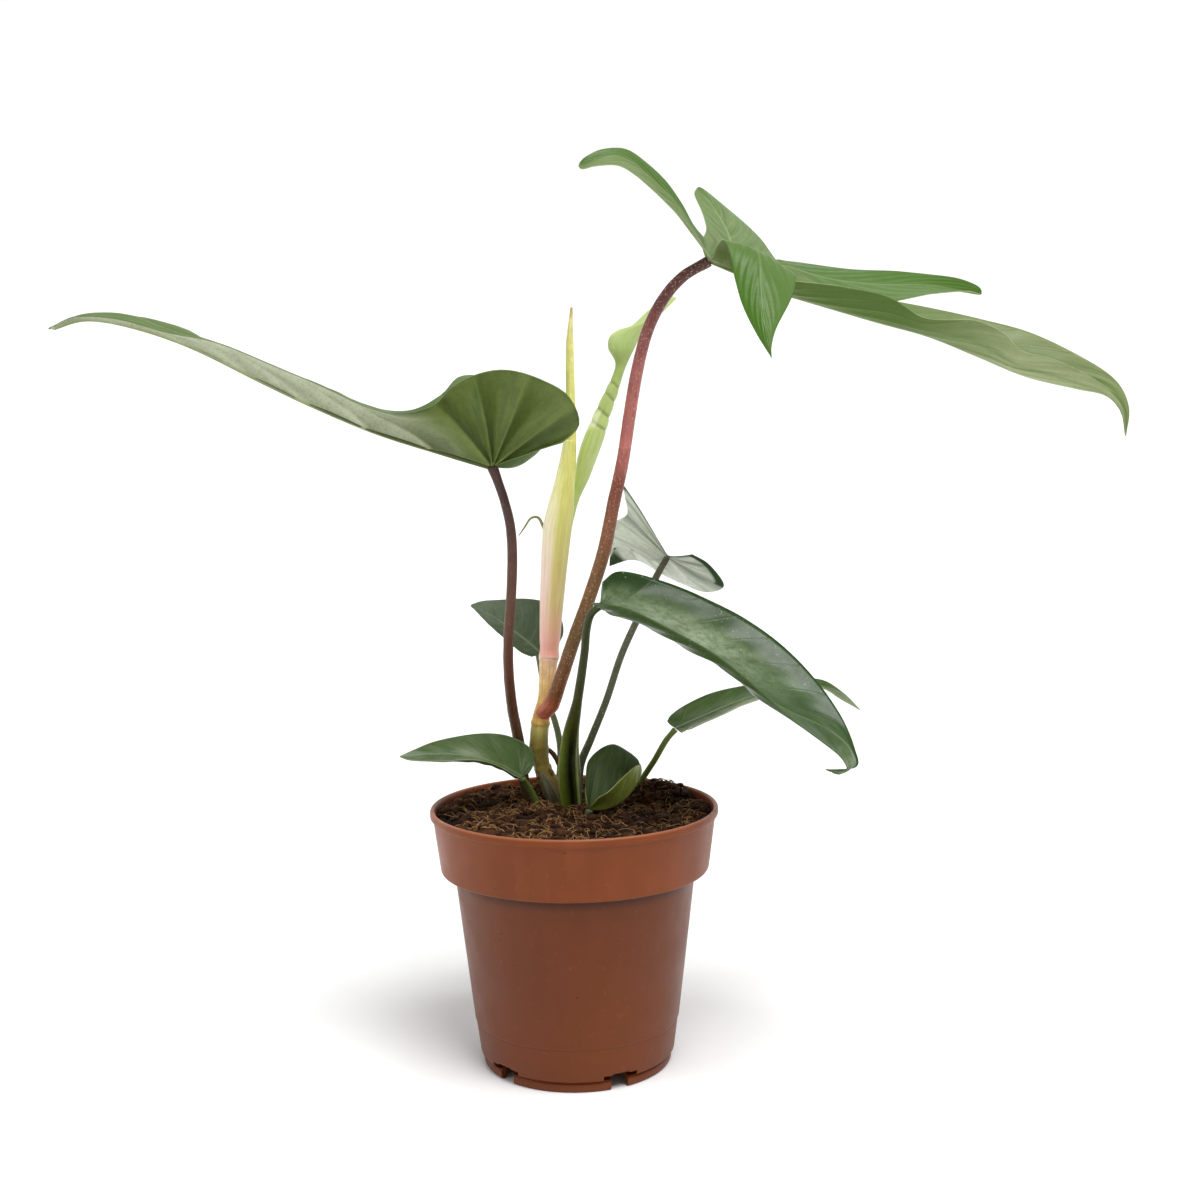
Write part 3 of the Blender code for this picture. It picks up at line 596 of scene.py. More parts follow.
def make_soil_crumbs(chance):
    """Loose lumps of peat, each a squeezed ball with a bumpy skin."""
    crumbs = Surface()
    for index in range(CRUMBS):
        radius = (SOIL_RADIUS - 1.0) * math.sqrt(chance.random())
        turn = chance.uniform(0, math.tau)
        size = chance.choice(CRUMB_SIZES) * chance.uniform(0.8, 1.2)
        x = radius * math.cos(turn)
        y = radius * math.sin(turn)
        centre = Vector((x, y, soil_height(x, y) + size * 0.25))
        squeeze = Vector((chance.uniform(0.7, 1.3), chance.uniform(0.7, 1.3), chance.uniform(0.5, 0.9)))
        rings = []
        for level in range(CRUMB_LEVELS + 1):
            tilt = math.pi * level / CRUMB_LEVELS
            points = []
            for spin_x, spin_y in ring(math.sin(tilt), CRUMB_SIDES):
                out = Vector((spin_x, spin_y, -math.cos(tilt)))
                bumpy = 1 + 0.35 * noise.noise(out * 1.7 + Vector((index * 3.1, 0, 0)))
                points.append(out * size * bumpy * squeeze + centre)
            if level in (0, CRUMB_LEVELS):
                rings.append([crumbs.point(points[0])] * CRUMB_SIDES)
            else:
                rings.append([crumbs.point(point) for point in points])
        crumbs.grid(rings, closed=True)
    peat = soil_finish("peat_crumbs", (16, 9, 6), (106, 68, 42), (154, 114, 72))
    add_piece("soil_crumbs", crumbs.mesh("soil_crumbs"), [peat], "soil")


def make_soil_fibres(chance):
    """Curved coir fibres that lie in patches."""
    fibres = Surface()
    for _ in range(FIBRES):
        radius = (SOIL_RADIUS - 3.0) * math.sqrt(chance.random())
        turn = chance.uniform(0, math.tau)
        patch = noise.noise(Vector((math.cos(turn), math.sin(turn), 5.0)) * radius / 13.0)
        if patch < chance.uniform(-0.3, 0.25):
            continue
        heading = chance.uniform(0, math.tau)
        length = chance.uniform(3.0, 11.0)
        bend = chance.uniform(-2.2, 2.2)
        lift = chance.uniform(0.2, 1.8)
        start = Vector((radius * math.cos(turn), radius * math.sin(turn)))
        points = []
        for step in range(FIBRE_STEPS + 1):
            share = step / FIBRE_STEPS
            way = heading + bend * share
            spot = start + Vector((math.cos(way), math.sin(way))) * length * (share - 0.5)
            if spot.length > SOIL_RADIUS - 1.0:
                spot *= (SOIL_RADIUS - 1.0) / spot.length
            height = soil_height(spot.x, spot.y) - SOIL_TOP + 0.3 + lift * math.sin(math.pi * share)
            points.append((spot.x, spot.y, height))
        thickness = chance.uniform(0.08, 0.21)
        radii = [thickness * 0.6] + [thickness] * (FIBRE_STEPS - 1) + [thickness * 0.4]
        tube_surface(points, radii, 5, 1.0, surface=fibres)
    coir = soil_finish("coir", (120, 84, 50), (202, 160, 110), (216, 184, 138))
    add_piece("soil_fibres", fibres.mesh("soil_fibres"), [coir], "soil")


# Stem, roots and shoots.

STEM = [
    (-7, 28, -10), (-7, 28, -5), (-8, 28, -1), (-11, 29, 7), (-14, 30, 15), (-15, 30, 25),
    (-14, 30, 35), (-12, 29, 44), (-11, 28, 53), (-10, 28, 63),
]
STEM_RADII = [4.0, 4.0, 4.2, 4.4, 3.5, 4.1, 3.8, 3.2, 3.4, 4.1]
OLD_SHEATH = [(-8, 20, -10), (-9, 20, 0), (-11, 20, 6), (-14, 21, 13)]
AERIAL_ROOT = [(-15, 31, 22), (-10, 34, 20), (-7, 35, 15), (-5, 36, 8), (-4, 37, 0), (-4, 37, -10)]
SPEAR_SHEATH = [
    (-10, 28, 62), (-9.2, 28, 76), (-8.2, 28, 90), (-7, 28, 105), (-5.6, 28.5, 118), (-4, 29, 127),
    (-2.2, 29.5, 137), (-0.8, 30, 147), (0.2, 30, 156),
]
SPEAR = [
    (-5, 29, 100), (-2, 30, 126), (-1, 30, 134), (0, 30, 145), (1, 30, 158), (1, 30, 175),
    (1, 30, 196), (2, 30, 212),
]
SHEATH_HOOK = [
    (-10, 31, 114), (-12, 31, 120), (-14, 31, 123), (-17, 30, 122.5), (-19.5, 27, 119),
    (-22, 24, 115.5),
]
NEW_LEAF_LEFT = [
    (-5, 32, 106), (-3, 36.6, 122), (0, 37.6, 131), (2, 38, 139), (3.5, 38, 148), (6, 38, 156),
    (10, 38, 165), (15, 38, 175), (19, 38, 183), (20.5, 38, 189), (17.6, 38, 195), (18.2, 38, 200),
    (22, 38, 203), (28, 38, 205), (36, 40, 212), (46, 46, 218),
]
NEW_LEAF_RIGHT = [
    (-2, 32, 106), (1.8, 36.6, 122), (4.5, 37.6, 131), (8.5, 38, 139), (12.5, 38, 149),
    (15.5, 38, 157), (18, 38, 166), (21.5, 38, 176), (24, 38, 184), (26, 38, 189), (29, 38, 195),
    (31, 38, 199), (35, 38, 204), (39, 38, 208), (44, 41, 213), (48, 46, 217),
]

STEM_STOPS = ((0.10, (92, 72, 38)), (0.30, (134, 116, 52)), (0.50, (152, 136, 62)), (0.57, (200, 188, 104)),
              (0.62, (240, 190, 98)), (0.85, (255, 214, 142)), (1.0, (255, 210, 174)))
STEM_RINGS = ((0.12, 0.60), (0.05, 0.46), (0.08, 0.985))
# Turn round the stem, height and size of each root bud at its foot.
ROOT_BUDS = ((-2.2, 12.0, 1.5), (-1.5, 9.0, 1.2), (-0.7, 13.5, 1.4), (0.1, 8.0, 1.2), (-2.9, 7.0, 1.1),
             (1.2, 12.0, 1.3), (2.3, 10.0, 1.2))


def stem_shape(share, turn):
    """Rings at the nodes, and lumps and scars that are stronger on the old, lower stem."""
    rings = sum(height * bell(share, place, 0.012) for height, place in STEM_RINGS)
    scars = 0.14 * max(0.0, lumps(share, turn, 3, 40) - 0.1)
    return 1 + rings + (0.10 * lumps(share, turn, 2, 26) + scars) * (1.0 if share < 0.48 else 0.25)


def old_sheath_shape(share, turn):
    return 1 - 0.35 * bell(turn_gap(turn, FRONT + 0.6), 0.0, 0.5) + 0.05 * math.sin(9 * turn)


def root_shape(share, turn):
    return 1 + 0.22 * lumps(share, turn, 1, 22)


def make_stem():
    skin = stalk_finish("stem_skin", STEM_STOPS, (104, 88, 46), 0.4, 0.4, 0.4)
    add_tube("stem_skin", skin, "stem", "stem", STEM, STEM_RADII, 40, 0.6, stem_shape)
    stops = ((0.3, (74, 70, 44)), (1.0, (104, 100, 72)))
    old = stalk_finish("old_sheath_skin", stops, (52, 44, 30), 0.5, 0.6, 0.7)
    radii = [2.2, 2.8, 2.6, 1.0]
    add_tube("old_sheath_skin", old, "stem", "old_sheath_base", OLD_SHEATH, radii, 28, 0.6,
             old_sheath_shape)


def make_roots():
    stops = ((0.0, (92, 66, 40)), (1.0, (120, 92, 58)))
    bark = stalk_finish("root_bark", stops, (60, 40, 24), 0.6, 0.75, 0.6, 0.0)
    radii = [1.2, 1.1, 1.0, 1.0, 1.0, 0.9]
    add_tube("aerial_root_skin", bark, "roots", "aerial_root", AERIAL_ROOT, radii, 14, 0.5, root_shape)
    buds = Surface()
    for turn, height, size in ROOT_BUDS:
        middle = Vector((-13.0, 29.6, height))
        out = Vector((math.cos(turn), math.sin(turn), -0.35)).normalized()
        points = [middle + out * 2.2, middle + out * 4.0, middle + out * 5.2 + Vector((0, 0, -0.6))]
        tube_surface(points, [size, size * 0.9, size * 0.35], 12, 0.4, root_shape, surface=buds)
    add_piece("root_buds", buds.mesh("root_buds"), [bark], "roots")
    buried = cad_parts["buried_roots"].data.materials
    buried.clear()
    buried.append(soil_finish("buried_root_skin", (98, 74, 48), (150, 122, 88), (60, 42, 28)))


def sheath_shape(share, turn):
    """A collar at the foot, fine ribs, and the edge where the sheath wraps over itself."""
    collar = 0.10 * bell(share, 0.012, 0.012) - 0.05 * bell(share, 0.05, 0.02)
    ribs = 0.006 * math.sin(turn * 16) + 0.012 * math.sin(turn * 5 + 1.0)
    edge = -0.05 * bell(turn_gap(turn, FRONT + 0.45), 0.0, 0.07) * min(1.0, share * 4)
    return 1 + collar + ribs + edge


def sheath_finish():
    """Pink at the foot, cream above and greener on its right, with fine lines and a pale ring."""
    coat = Finish("sheath_skin", Coat_Weight=0.1, Coat_Roughness=0.3, Subsurface_Weight=0.15,
                  Subsurface_Scale=0.004)
    east, north, along = coat.attribute("skin")
    share, _, _ = coat.attribute("reach")
    coat.base(coat.ramp(share, (0.0, (240, 166, 150)), (0.14, (244, 196, 182)), (0.4, (248, 222, 208)),
                        (0.62, (248, 238, 204)), (0.8, (242, 240, 168))))
    green = coat.ramp(share, (0.0, (240, 160, 146)), (0.1, (232, 172, 146)), (0.26, (214, 188, 122)),
                      (0.6, (208, 204, 112)), (1.0, (222, 222, 118)))
    coat.over(green, coat.calc("ADD", coat.calc("DIVIDE", east, 12.0), 0.5), (0.26, 0.0), (0.52, 1.0))
    lines = coat.noise(1.3, 3.0, coat.vector(east, north, coat.times(along, 0.02)))
    upper = coat.ramp(share, (0.1, 0.2), (0.3, 1.0))
    coat.over((186, 178, 92), coat.times(coat.ramp(lines, (0.45, 0.0), (0.7, 0.4)), upper))
    pale = coat.noise(0.9, 2.0, coat.vector(north, east, coat.times(along, 0.015)))
    coat.over((252, 246, 214), pale, (0.5, 0.0), (0.75, 0.3))
    specks = coat.noise(1.9, 1.0, coat.vector(east, north, coat.times(along, 0.5)))
    coat.over((120, 104, 50), specks, (0.76, 0.0), (0.80, 0.6))
    coat.over((250, 206, 190), share, (0.0, 0.8), (0.012, 0.8), (0.022, 0.0))
    return coat.finish(0.42, [(lines, 0.06)])


SPEAR_STOPS = ((0.0, (232, 224, 140)), (0.45, (230, 228, 128)), (0.8, (238, 236, 140)),
               (0.95, (236, 226, 150)), (1.0, (178, 140, 84)))
HOOK_STOPS = ((0.0, (190, 186, 120)), (0.4, (132, 134, 84)), (1.0, (128, 124, 96)))


def spear_shape(share, turn):
    return 1 - 0.16 * bell(turn_gap(turn, FRONT + 0.25), 0.0, 0.16) + 0.02 * math.sin(turn * 7)


def hook_shape(share, turn):
    return 1 - 0.4 * bell(turn_gap(turn, -FRONT), 0.0, 0.6)


def make_shoots():
    radii = [4.1, 4.7, 5.3, 5.9, 6.25, 5.7, 4.5, 3.35, 2.45]
    add_tube("spear_sheath_skin", sheath_finish(), "spear", "spear_sheath", SPEAR_SHEATH, radii, 48, 0.9,
             sheath_shape)
    spear = stalk_finish("spear_skin", SPEAR_STOPS, (250, 248, 196), 0.45, 0.4, 0.35)
    radii = [3.0, 3.4, 3.2, 2.9, 2.25, 2.0, 1.7, 0.5]
    add_tube("spear_skin", spear, "spear", "spear_leaf", SPEAR, radii, 32, 0.9, spear_shape)
    hook = stalk_finish("hook_skin", HOOK_STOPS, (96, 92, 60), 0.4, 0.55)
    radii = [0.8, 0.7, 0.6, 0.5, 0.42, 0.22]
    add_tube("sheath_hook_skin", hook, "roots", "sheath_hook", SHEATH_HOOK, radii, 14, 0.4, hook_shape)


NEW_LEAF_STEPS = 280
NEW_LEAF_SIDES = 48
NEW_LEAF_LENGTH = 110
FOLD_PLACES = (0.375, 0.415, 0.46, 0.50)
FOLD_GAP = 0.042


def new_leaf_finish():
    coat = Finish("new_leaf_skin", Coat_Weight=0.12, Coat_Roughness=0.3, Subsurface_Weight=0.12,
                  Subsurface_Scale=0.003)
    share, folds, _ = coat.attribute("reach")
    east, north, along = coat.attribute("skin")
    coat.base(coat.ramp(share, (0.0, (206, 218, 150)), (0.15, (188, 210, 122)), (0.38, (196, 214, 132)),
                        (0.47, (170, 188, 106)), (0.62, (160, 180, 100)), (0.72, (184, 204, 128)),
                        (0.95, (190, 206, 134))))
    lines = coat.noise(0.9, 3.0, coat.vector(east, north, coat.times(along, 0.05)))
    coat.over((150, 176, 86), lines, (0.4, 0.0), (0.7, 0.4))
    # Painted shade: dark lines in the creases between the rolled folds.
    coat.over((104, 124, 52), coat.times(folds, 0.85))
    # Painted highlight: a bright band on the left side of the first roll.
    bead_highlight = coat.ramp(share, (0.36, 0.0), (0.38, 0.7), (0.41, 0.7), (0.43, 0.0))
    left_side = coat.ramp(coat.times(east, -0.3), (0.1, 0.0), (0.5, 1.0))
    coat.over((236, 244, 206), coat.times(bead_highlight, left_side))
    coat.over((214, 228, 160), coat.noise(90.0, 3.0), (0.5, 0.0), (0.8, 0.35))
    return coat.finish(0.42, [(lines, 0.10), (coat.noise(900.0, 2.0), 0.03)])


def make_new_leaf():
    """A rolled young leaf with a hooded top, built between the two sides of its outline."""
    left = plant_curve(NEW_LEAF_LEFT)
    right = plant_curve(NEW_LEAF_RIGHT)
    surface = Surface()
    rows = []
    for index in range(NEW_LEAF_STEPS + 1):
        share = index / NEW_LEAF_STEPS
        # The two sides are paced by their own points, so that each pair stays level.
        where = share * (len(NEW_LEAF_LEFT) - 1)
        span = min(int(where), len(NEW_LEAF_LEFT) - 2)
        gap = where - span
        pair = []
        for side in (left, right):
            pair.append(side(side.reach[span] + (side.reach[span + 1] - side.reach[span]) * gap))
        one, two = pair
        centre = (one + two) / 2
        half = (two - one) / 2
        flat = between((1.0, 1.0, 0.95, 0.5, 0.35, 0.3), (0.0, 0.3, 0.55, 0.68, 0.85, 1.0), share)
        depth = Vector((0, 1, 0)) * half.length * flat
        row = []
        for x, y in ring(1.0, NEW_LEAF_SIDES):
            slant = share + 0.018 * x
            folds = sum(bell(slant, middle, 0.0035) for middle in FOLD_PLACES)
            rolls = 0.0
            if FOLD_PLACES[0] < slant < FOLD_PLACES[0] + 3 * FOLD_GAP:
                rolls = 0.05 * math.sin((slant - FOLD_PLACES[0]) / FOLD_GAP * math.pi) ** 2
            seam = 0.10 * bell(turn_gap(math.atan2(y, x), FRONT + 0.9 - 2.2 * share), 0.0, 0.10)
            size = 1 - 0.10 * folds - seam * (1 - share) + rolls
            skin = (half.length * x, half.length * y, share * NEW_LEAF_LENGTH)
            place = centre + (half * x + depth * y) * size
            row.append(surface.point(place, skin=skin, reach=(share, folds, 0.0)))
        rows.append(row)
    surface.tube(rows)
    add_piece("new_leaf_skin", surface.mesh("new_leaf_skin"), [new_leaf_finish()], "new_leaf", "new_leaf")


# Stalks.

# Each stalk's route from the soil to its leaf, and its radius at each point.
STALKS = {
    "left": (
        [
            (-17, 28, -10), (-20, 28, 0), (-22, 28, 10), (-23, 28, 20), (-24, 27, 28), (-26, 23, 41),
            (-27, 16, 57), (-26.6, 9, 73), (-25, 4, 90), (-24, 0.5, 107), (-24.4, -1.6, 120),
            (-26.6, -3.2, 131), (-29.4, -4.4, 140), (-31.3, -5, 145.4),
        ],
        [2.4, 2.4, 2.4, 2.4, 2.4, 2.3, 2.2, 2.1, 2.1, 2.1, 2.0, 1.9, 1.9, 2.0],
    ),
    "top": (
        [
            (-13, 29, 38), (-9, 24, 43), (-5, 19, 54), (1, 14, 72), (8, 10, 91), (14, 5, 110),
            (18, 2, 129), (22, 0, 147), (25, -3, 166), (28, -6, 183), (32, -9, 198), (38, -11, 210),
            (46, -13, 219), (56.5, -15, 225),
        ],
        [3.2, 3.4, 3.0, 2.9, 2.8, 2.8, 2.7, 2.6, 2.6, 2.5, 2.4, 2.3, 2.2, 2.0],
    ),
    "front": (
        [
            (-1, 13, -10), (-1, 13, 0), (-2, 11, 17), (-1, 8, 32), (2, 0, 48), (5, -8, 68),
            (6, -14, 79), (8, -19, 86), (12.6, -22.4, 90),
        ],
        [4.2, 4.6, 4.9, 3.5, 2.0, 1.7, 1.7, 1.6, 1.4],
    ),
    "back_right": (
        [
            (2, 43, -10), (2, 43, 0), (3, 43, 12), (8, 43, 24), (15, 43, 41), (22, 45, 61),
            (31, 47, 80), (38, 49, 95), (43, 50, 103.5),
        ],
        [2.0, 2.0, 1.9, 1.7, 1.6, 1.6, 1.6, 1.6, 1.4],
    ),
    "back_left": (
        [
            (-8, 42, -10), (-7, 43, 0), (-6, 44, 12), (-6, 45, 21), (-8, 46, 31), (-12, 47, 43),
            (-14, 48, 54), (-15, 48, 61),
        ],
        [1.6, 1.6, 1.5, 1.5, 1.4, 1.3, 1.3, 1.2],
    ),
    "right": (
        [(18, 29, -10), (24, 28, 0), (30, 27, 9), (35, 25, 17), (40, 23, 26), (44, 22, 31)],
        [1.7, 1.6, 1.3, 1.3, 1.3, 1.2],
    ),
    "low_left": (
        [(-14, 19, -10), (-16, 19, 0), (-18, 18, 5), (-20, 16, 9), (-22, 12, 13)],
        [1.5, 1.4, 1.3, 1.3, 1.2],
    ),
    "low_round": (
        [(4, 1, -10), (5, 1, -4), (6, 0, 1)],
        [1.6, 1.6, 1.5],
    ),
}

# For each stalk: colours from its foot to its leaf, the colour of its specks, and how strong they are.
STALK_LOOKS = {
    "left": (((0.0, (58, 50, 22)), (0.2, (82, 60, 34)), (0.45, (104, 64, 48)), (0.65, (100, 66, 50)),
              (0.9, (78, 54, 48)), (1.0, (72, 50, 44))), (150, 106, 90), 0.45),
    "top": (((0.0, (226, 116, 100)), (0.03, (206, 112, 80)), (0.07, (134, 82, 46)), (0.2, (112, 82, 40)),
             (0.33, (128, 90, 52)), (0.44, (140, 88, 60)), (0.52, (132, 70, 56)), (0.6, (198, 118, 110)),
             (0.76, (164, 96, 92)), (0.88, (104, 58, 56)), (1.0, (84, 56, 52))), (232, 190, 160), 0.8),
    "front": (((0.0, (72, 82, 24)), (0.3, (82, 90, 28)), (0.6, (60, 64, 24)), (1.0, (58, 68, 32))),
              (120, 128, 60), 0.3),
    "back_right": (((0.0, (82, 92, 58)), (0.5, (94, 98, 74)), (0.85, (108, 108, 90)), (1.0, (80, 70, 54))),
                   (176, 180, 156), 0.7),
    "back_left": (((0.0, (90, 98, 60)), (1.0, (112, 124, 90))), (150, 154, 120), 0.4),
    "right": (((0.0, (92, 104, 44)), (1.0, (110, 128, 58))), (150, 160, 90), 0.4),
    "low_left": (((0.0, (90, 108, 44)), (1.0, (104, 128, 58))), (140, 140, 96), 0.4),
    "low_round": (((0.0, (64, 70, 30)), (1.0, (70, 84, 36))), (110, 118, 60), 0.4),
}

# The winged foot of the front stalk, from its pale left edge past the hollow, painted near-black as shade,
# to its right edge.
FRONT_STALK_AROUND = ((0.48, (84, 98, 32)), (0.54, (146, 162, 72)), (0.60, (104, 120, 34)),
                      (0.70, (66, 76, 16)), (0.75, (26, 30, 8)), (0.84, (20, 24, 6)), (0.89, (60, 72, 22)),
                      (0.92, (184, 194, 128)), (0.96, (70, 84, 30)))


def stalk_shape(name):
    """The groove, collar or small lumps that each stalk's round section carries."""
    if name == "front":
        def shape(share, turn):
            depth = 0.72 * (1 - climb(share, 0.30, 0.16))
            return 1 - depth * bell(turn_gap(turn, FRONT + 0.25), 0.0, 0.62) ** 0.8
    elif name == "back_right":
        def shape(share, turn):
            return 1 - 0.18 * bell(turn_gap(turn, FRONT), 0.0, 0.35)
    elif name == "top":
        def shape(share, turn):
            collar = 0.10 * bell(share, 0.0, 0.02) + 0.06 * bell(share, 0.035, 0.008)
            swell = 0.12 * bell(share, 1.0, 0.02)
            return 1 + collar + swell + 0.03 * lumps(share, turn, 2, 60)
    else:
        def shape(share, turn):
            swell = 0.15 * bell(share, 1.0, 0.03)
            return 1 + swell + 0.04 * lumps(share, turn, 2, 30)
    return shape


def make_stalks():
    for name, (points, radii) in STALKS.items():
        stops, speck, specks = STALK_LOOKS[name]
        around = FRONT_STALK_AROUND if name == "front" else None
        finish = stalk_finish(f"{name}_stalk_skin", stops, speck, specks, around=around)
        slot = "red_stalks" if name in ("left", "top") else "green_stalks"
        sides = 48 if name == "front" else 28
        replaced = f"{name}_leaf_stalk"
        add_tube(f"{name}_stalk_skin", finish, slot, replaced, points, radii, sides, 0.9, stalk_shape(name))


# Leaf blades.

# Each blade has its midrib and the outline of its left and right half, from the joint's end to the tip.
# Behind says how many outline points of each half lie behind the joint, and bulge how far it arches.
BLADES = {
    "left": {
        "midrib": [
            (-31, -5, 145), (-50, -6, 151), (-77, -9, 160), (-102, -12, 171), (-122, -14, 181),
            (-147, -17, 194), (-169, -20, 202), (-187, -22, 205), (-201, -24, 201),
        ],
        "left": [
            (-3, -26, 154), (4, -33, 161), (0, -38, 172), (-10, -40, 178), (-23, -40, 182),
            (-34, -38, 181), (-45, -33, 176), (-52, -28, 170), (-64, -24, 167), (-78, -23, 169),
            (-106, -24, 182), (-134, -26, 194), (-155, -27, 199), (-174, -27, 204), (-190, -25, 205),
        ],
        "right": [
            (-18, 26, 149.5), (-7, 32, 158), (-10, 38, 177), (-25, 38, 182), (-38, 36, 184),
            (-47, 33, 183), (-54, 26, 175), (-67, 20, 169), (-84, 16, 171), (-112, 12, 184),
            (-142, 8, 196), (-169, 2, 206), (-190, -10, 207),
        ],
        "behind": (7, 6),
        "bulge": (-0.05, -0.05),
    },
    "front": {
        "midrib": [
            (12, -22, 90), (28, -27, 85), (43, -32, 76), (59, -37, 68), (70, -40, 58), (83, -43, 50),
            (98, -45, 43), (107, -46, 35), (108, -47, 28), (103, -48, 25), (97, -49, 27),
        ],
        "left": [
            (13, -9, 98), (20, -1, 101.5), (35, 3, 98), (55, 2, 90), (71, -4, 82), (87, -12, 70),
            (98, -22, 58), (106, -32, 45), (110, -40, 34), (110, -44, 27),
        ],
        "right": [
            (8, -29, 91.5), (12, -38, 92), (24, -46, 89.5), (42, -51, 80.5), (55, -54, 73),
            (66, -56, 64), (80, -57, 51.5), (95, -54, 39), (103, -51, 32), (105, -50, 27),
        ],
        "behind": (2, 2),
        "bulge": (0.16, 0.12),
    },
    "back_right": {
        "midrib": [
            (43, 50, 104), (38, 56, 102), (31, 64, 104.5), (25, 72, 108), (21, 76, 107), (18, 80, 98),
        ],
        "left": [
            (54, 47, 105), (62, 51, 100), (69, 57, 90), (61, 64, 86.5), (50, 66, 90.5), (41, 68, 95),
            (33, 72, 100), (27, 76, 101),
        ],
        "right": [
            (23.5, 66, 136.5), (25, 69, 130), (26, 71, 122.5), (21, 74, 119), (18, 76, 113),
            (18.5, 79, 106),
        ],
        "behind": (3, 3),
        "bulge": (-0.03, 0.02),
    },
    "back_left": {
        "midrib": [(-14, 47, 62), (-23, 52, 69), (-35, 60, 77), (-46, 66, 82)],
        "left": [(-18, 45, 61), (-23, 48, 63), (-30, 54, 68), (-38, 61, 74)],
        "right": [
            (-7, 45, 65), (-4, 44, 71), (-5, 44, 78), (-10, 46, 84), (-20, 50, 86), (-32, 57, 85),
            (-41, 63, 84),
        ],
        "behind": (1, 2),
        "bulge": (0.1, 0.1),
    },
    "right": {
        "midrib": [
            (44, 22, 32), (57, 20, 38), (75, 20, 45), (92, 24, 48), (108, 30, 48), (120, 34, 42),
            (127, 36, 36),
        ],
        "left": [
            (41, 27, 34), (43, 31, 36), (50, 34, 40), (62, 35, 45), (77, 35, 48), (95, 35, 50),
            (109, 34, 50), (119, 36, 44),
        ],
        "right": [
            (46, 11, 32), (53, 7, 37), (63, 6, 41), (73, 8, 45), (90, 15, 48), (107, 26, 48),
            (117, 31, 42),
        ],
        "behind": (2, 1),
        "bulge": (0.12, 0.12),
    },
    "low_left": {
        "midrib": [(-22, 11, 14), (-31, 4, 21), (-43, -2, 26), (-57, -7, 28), (-71, -11, 28)],
        "left": [
            (-22, 7, 14), (-25, 1, 17), (-32, -7, 23), (-41, -15, 27), (-55, -17, 27), (-66, -14, 27),
        ],
        "right": [
            (-19, 13, 15), (-17, 16, 19), (-18, 18, 24), (-23, 19, 28), (-31, 18, 31), (-42, 14, 32),
            (-57, 5, 31), (-66, -3, 29),
        ],
        "behind": (1, 3),
        "bulge": (0.12, 0.12),
    },
    "low_round": {
        "midrib": [
            (6, 0, 2), (9, -2, 2), (14, -4, 3), (20, -3, 6), (25, 0, 11), (28, 4, 16), (28, 7, 19),
        ],
        "left": [(5, 6, 13), (6, 9, 20), (11, 11, 25), (17, 12, 27), (23, 12, 24), (27, 10, 21)],
        "right": [(10, -9, 9), (14, -12, 12), (20, -9, 17), (25, -3, 20)],
        "behind": (2, 1),
        "bulge": (-0.08, 0.0),
    },
}

# The top leaf's five lobes meet at one joint. The three lines of a lobe all end at its tip.
TOP_JOINT = (56, -15, 225)
TOP_LOBES = {
    "basal_right": {
        "left": [
            (55, -10, 235), (50, -17, 239), (45, -25, 246), (39, -32, 253), (31, -38, 259),
            (23, -43, 263), (14, -48, 262), (7, -52, 258), (5, -53, 255),
        ],
        "vein": [
            (54, -16, 231), (49, -22, 238), (43, -30, 245), (34, -38, 252), (25, -45, 258),
            (17, -50, 259), (5, -53, 255),
        ],
        "right": [
            (57, -21, 225), (48, -27, 235), (42, -35, 241), (33, -44, 248), (25, -51, 253),
            (19, -55, 255), (11, -56, 254.5), (6.5, -55, 253.5), (5, -53, 255),
        ],
    },
    "side_right": {
        "left": [
            (57, -21, 225), (59, -22, 230), (61.5, -25, 232), (63, -31, 226), (64, -36, 217),
            (66.5, -42, 205), (71, -47, 194), (76, -54, 184),
        ],
        "vein": [
            (70, -17, 221), (72, -20, 226), (74, -25, 228), (74.5, -31, 224), (74, -37, 216),
            (74, -44, 203), (75, -50, 192), (76, -54, 184),
        ],
        "right": [
            (85, -19, 215), (87, -22, 219), (89, -26, 218), (88, -31, 212), (85, -38, 206),
            (79, -46, 196), (76.5, -51, 189), (76, -54, 184),
        ],
    },
    "middle": {
        "left": [
            (85, -19, 217), (108, -20, 214), (127, -18, 210), (140, -19, 202), (150, -21, 200.5),
            (161, -22, 200), (172, -22, 195), (180, -21, 188), (194, -18, 184.5), (208, -13, 179),
            (219, -8, 173), (226, -5, 165), (228, -4, 154),
        ],
        "vein": [
            (88, -10, 212), (104, -11, 207), (124, -11, 201), (145, -11, 195), (165, -10, 187),
            (185, -8, 179), (206, -6, 174), (219, -5, 171), (226, -4, 164), (228, -4, 154),
        ],
        "right": [
            (92, 0, 222), (109, 6, 216), (129, 8, 212), (150, 7, 208), (170, 5, 203), (190, 3, 197),
            (210, 0, 187), (224, -2, 177), (229, -4, 166), (228, -4, 154),
        ],
    },
    "side_left": {
        "left": [
            (88, -2, 214), (110, 7, 209), (128, 17, 210), (145, 28, 214), (160, 40, 217.5),
            (176, 53, 219.5), (186, 62, 219),
        ],
        "vein": [(90, 8, 226), (111, 22, 222), (135, 36, 221), (160, 50, 222), (186, 62, 219)],
        "right": [
            (87, 14, 229), (103, 28, 229), (123, 40, 228), (147, 50, 228), (170, 57.5, 226.5),
            (181, 61, 224), (185.5, 62, 221.5), (186, 62, 219),
        ],
    },
    "basal_left": {
        "left": [
            (87, 14, 229), (82, 24, 239), (75, 28, 247), (64, 26, 255.5), (57, 21, 259.5),
            (55, 19, 259.5),
        ],
        "vein": [(68, 4, 233), (66, 12, 242), (61, 18, 252), (55, 19, 259.5)],
        "right": [(55, -10, 235), (57, -2, 240), (56, 8, 248), (53.5, 15, 256), (55, 19, 259.5)],
    },
}

# Painted shade along the folds of the long middle lobe: how deep, where across it, and how wide.
LOBE_FOLDS = ((0.5, 0.62, 0.10), (0.45, 0.12, 0.07), (0.35, -0.55, 0.08))
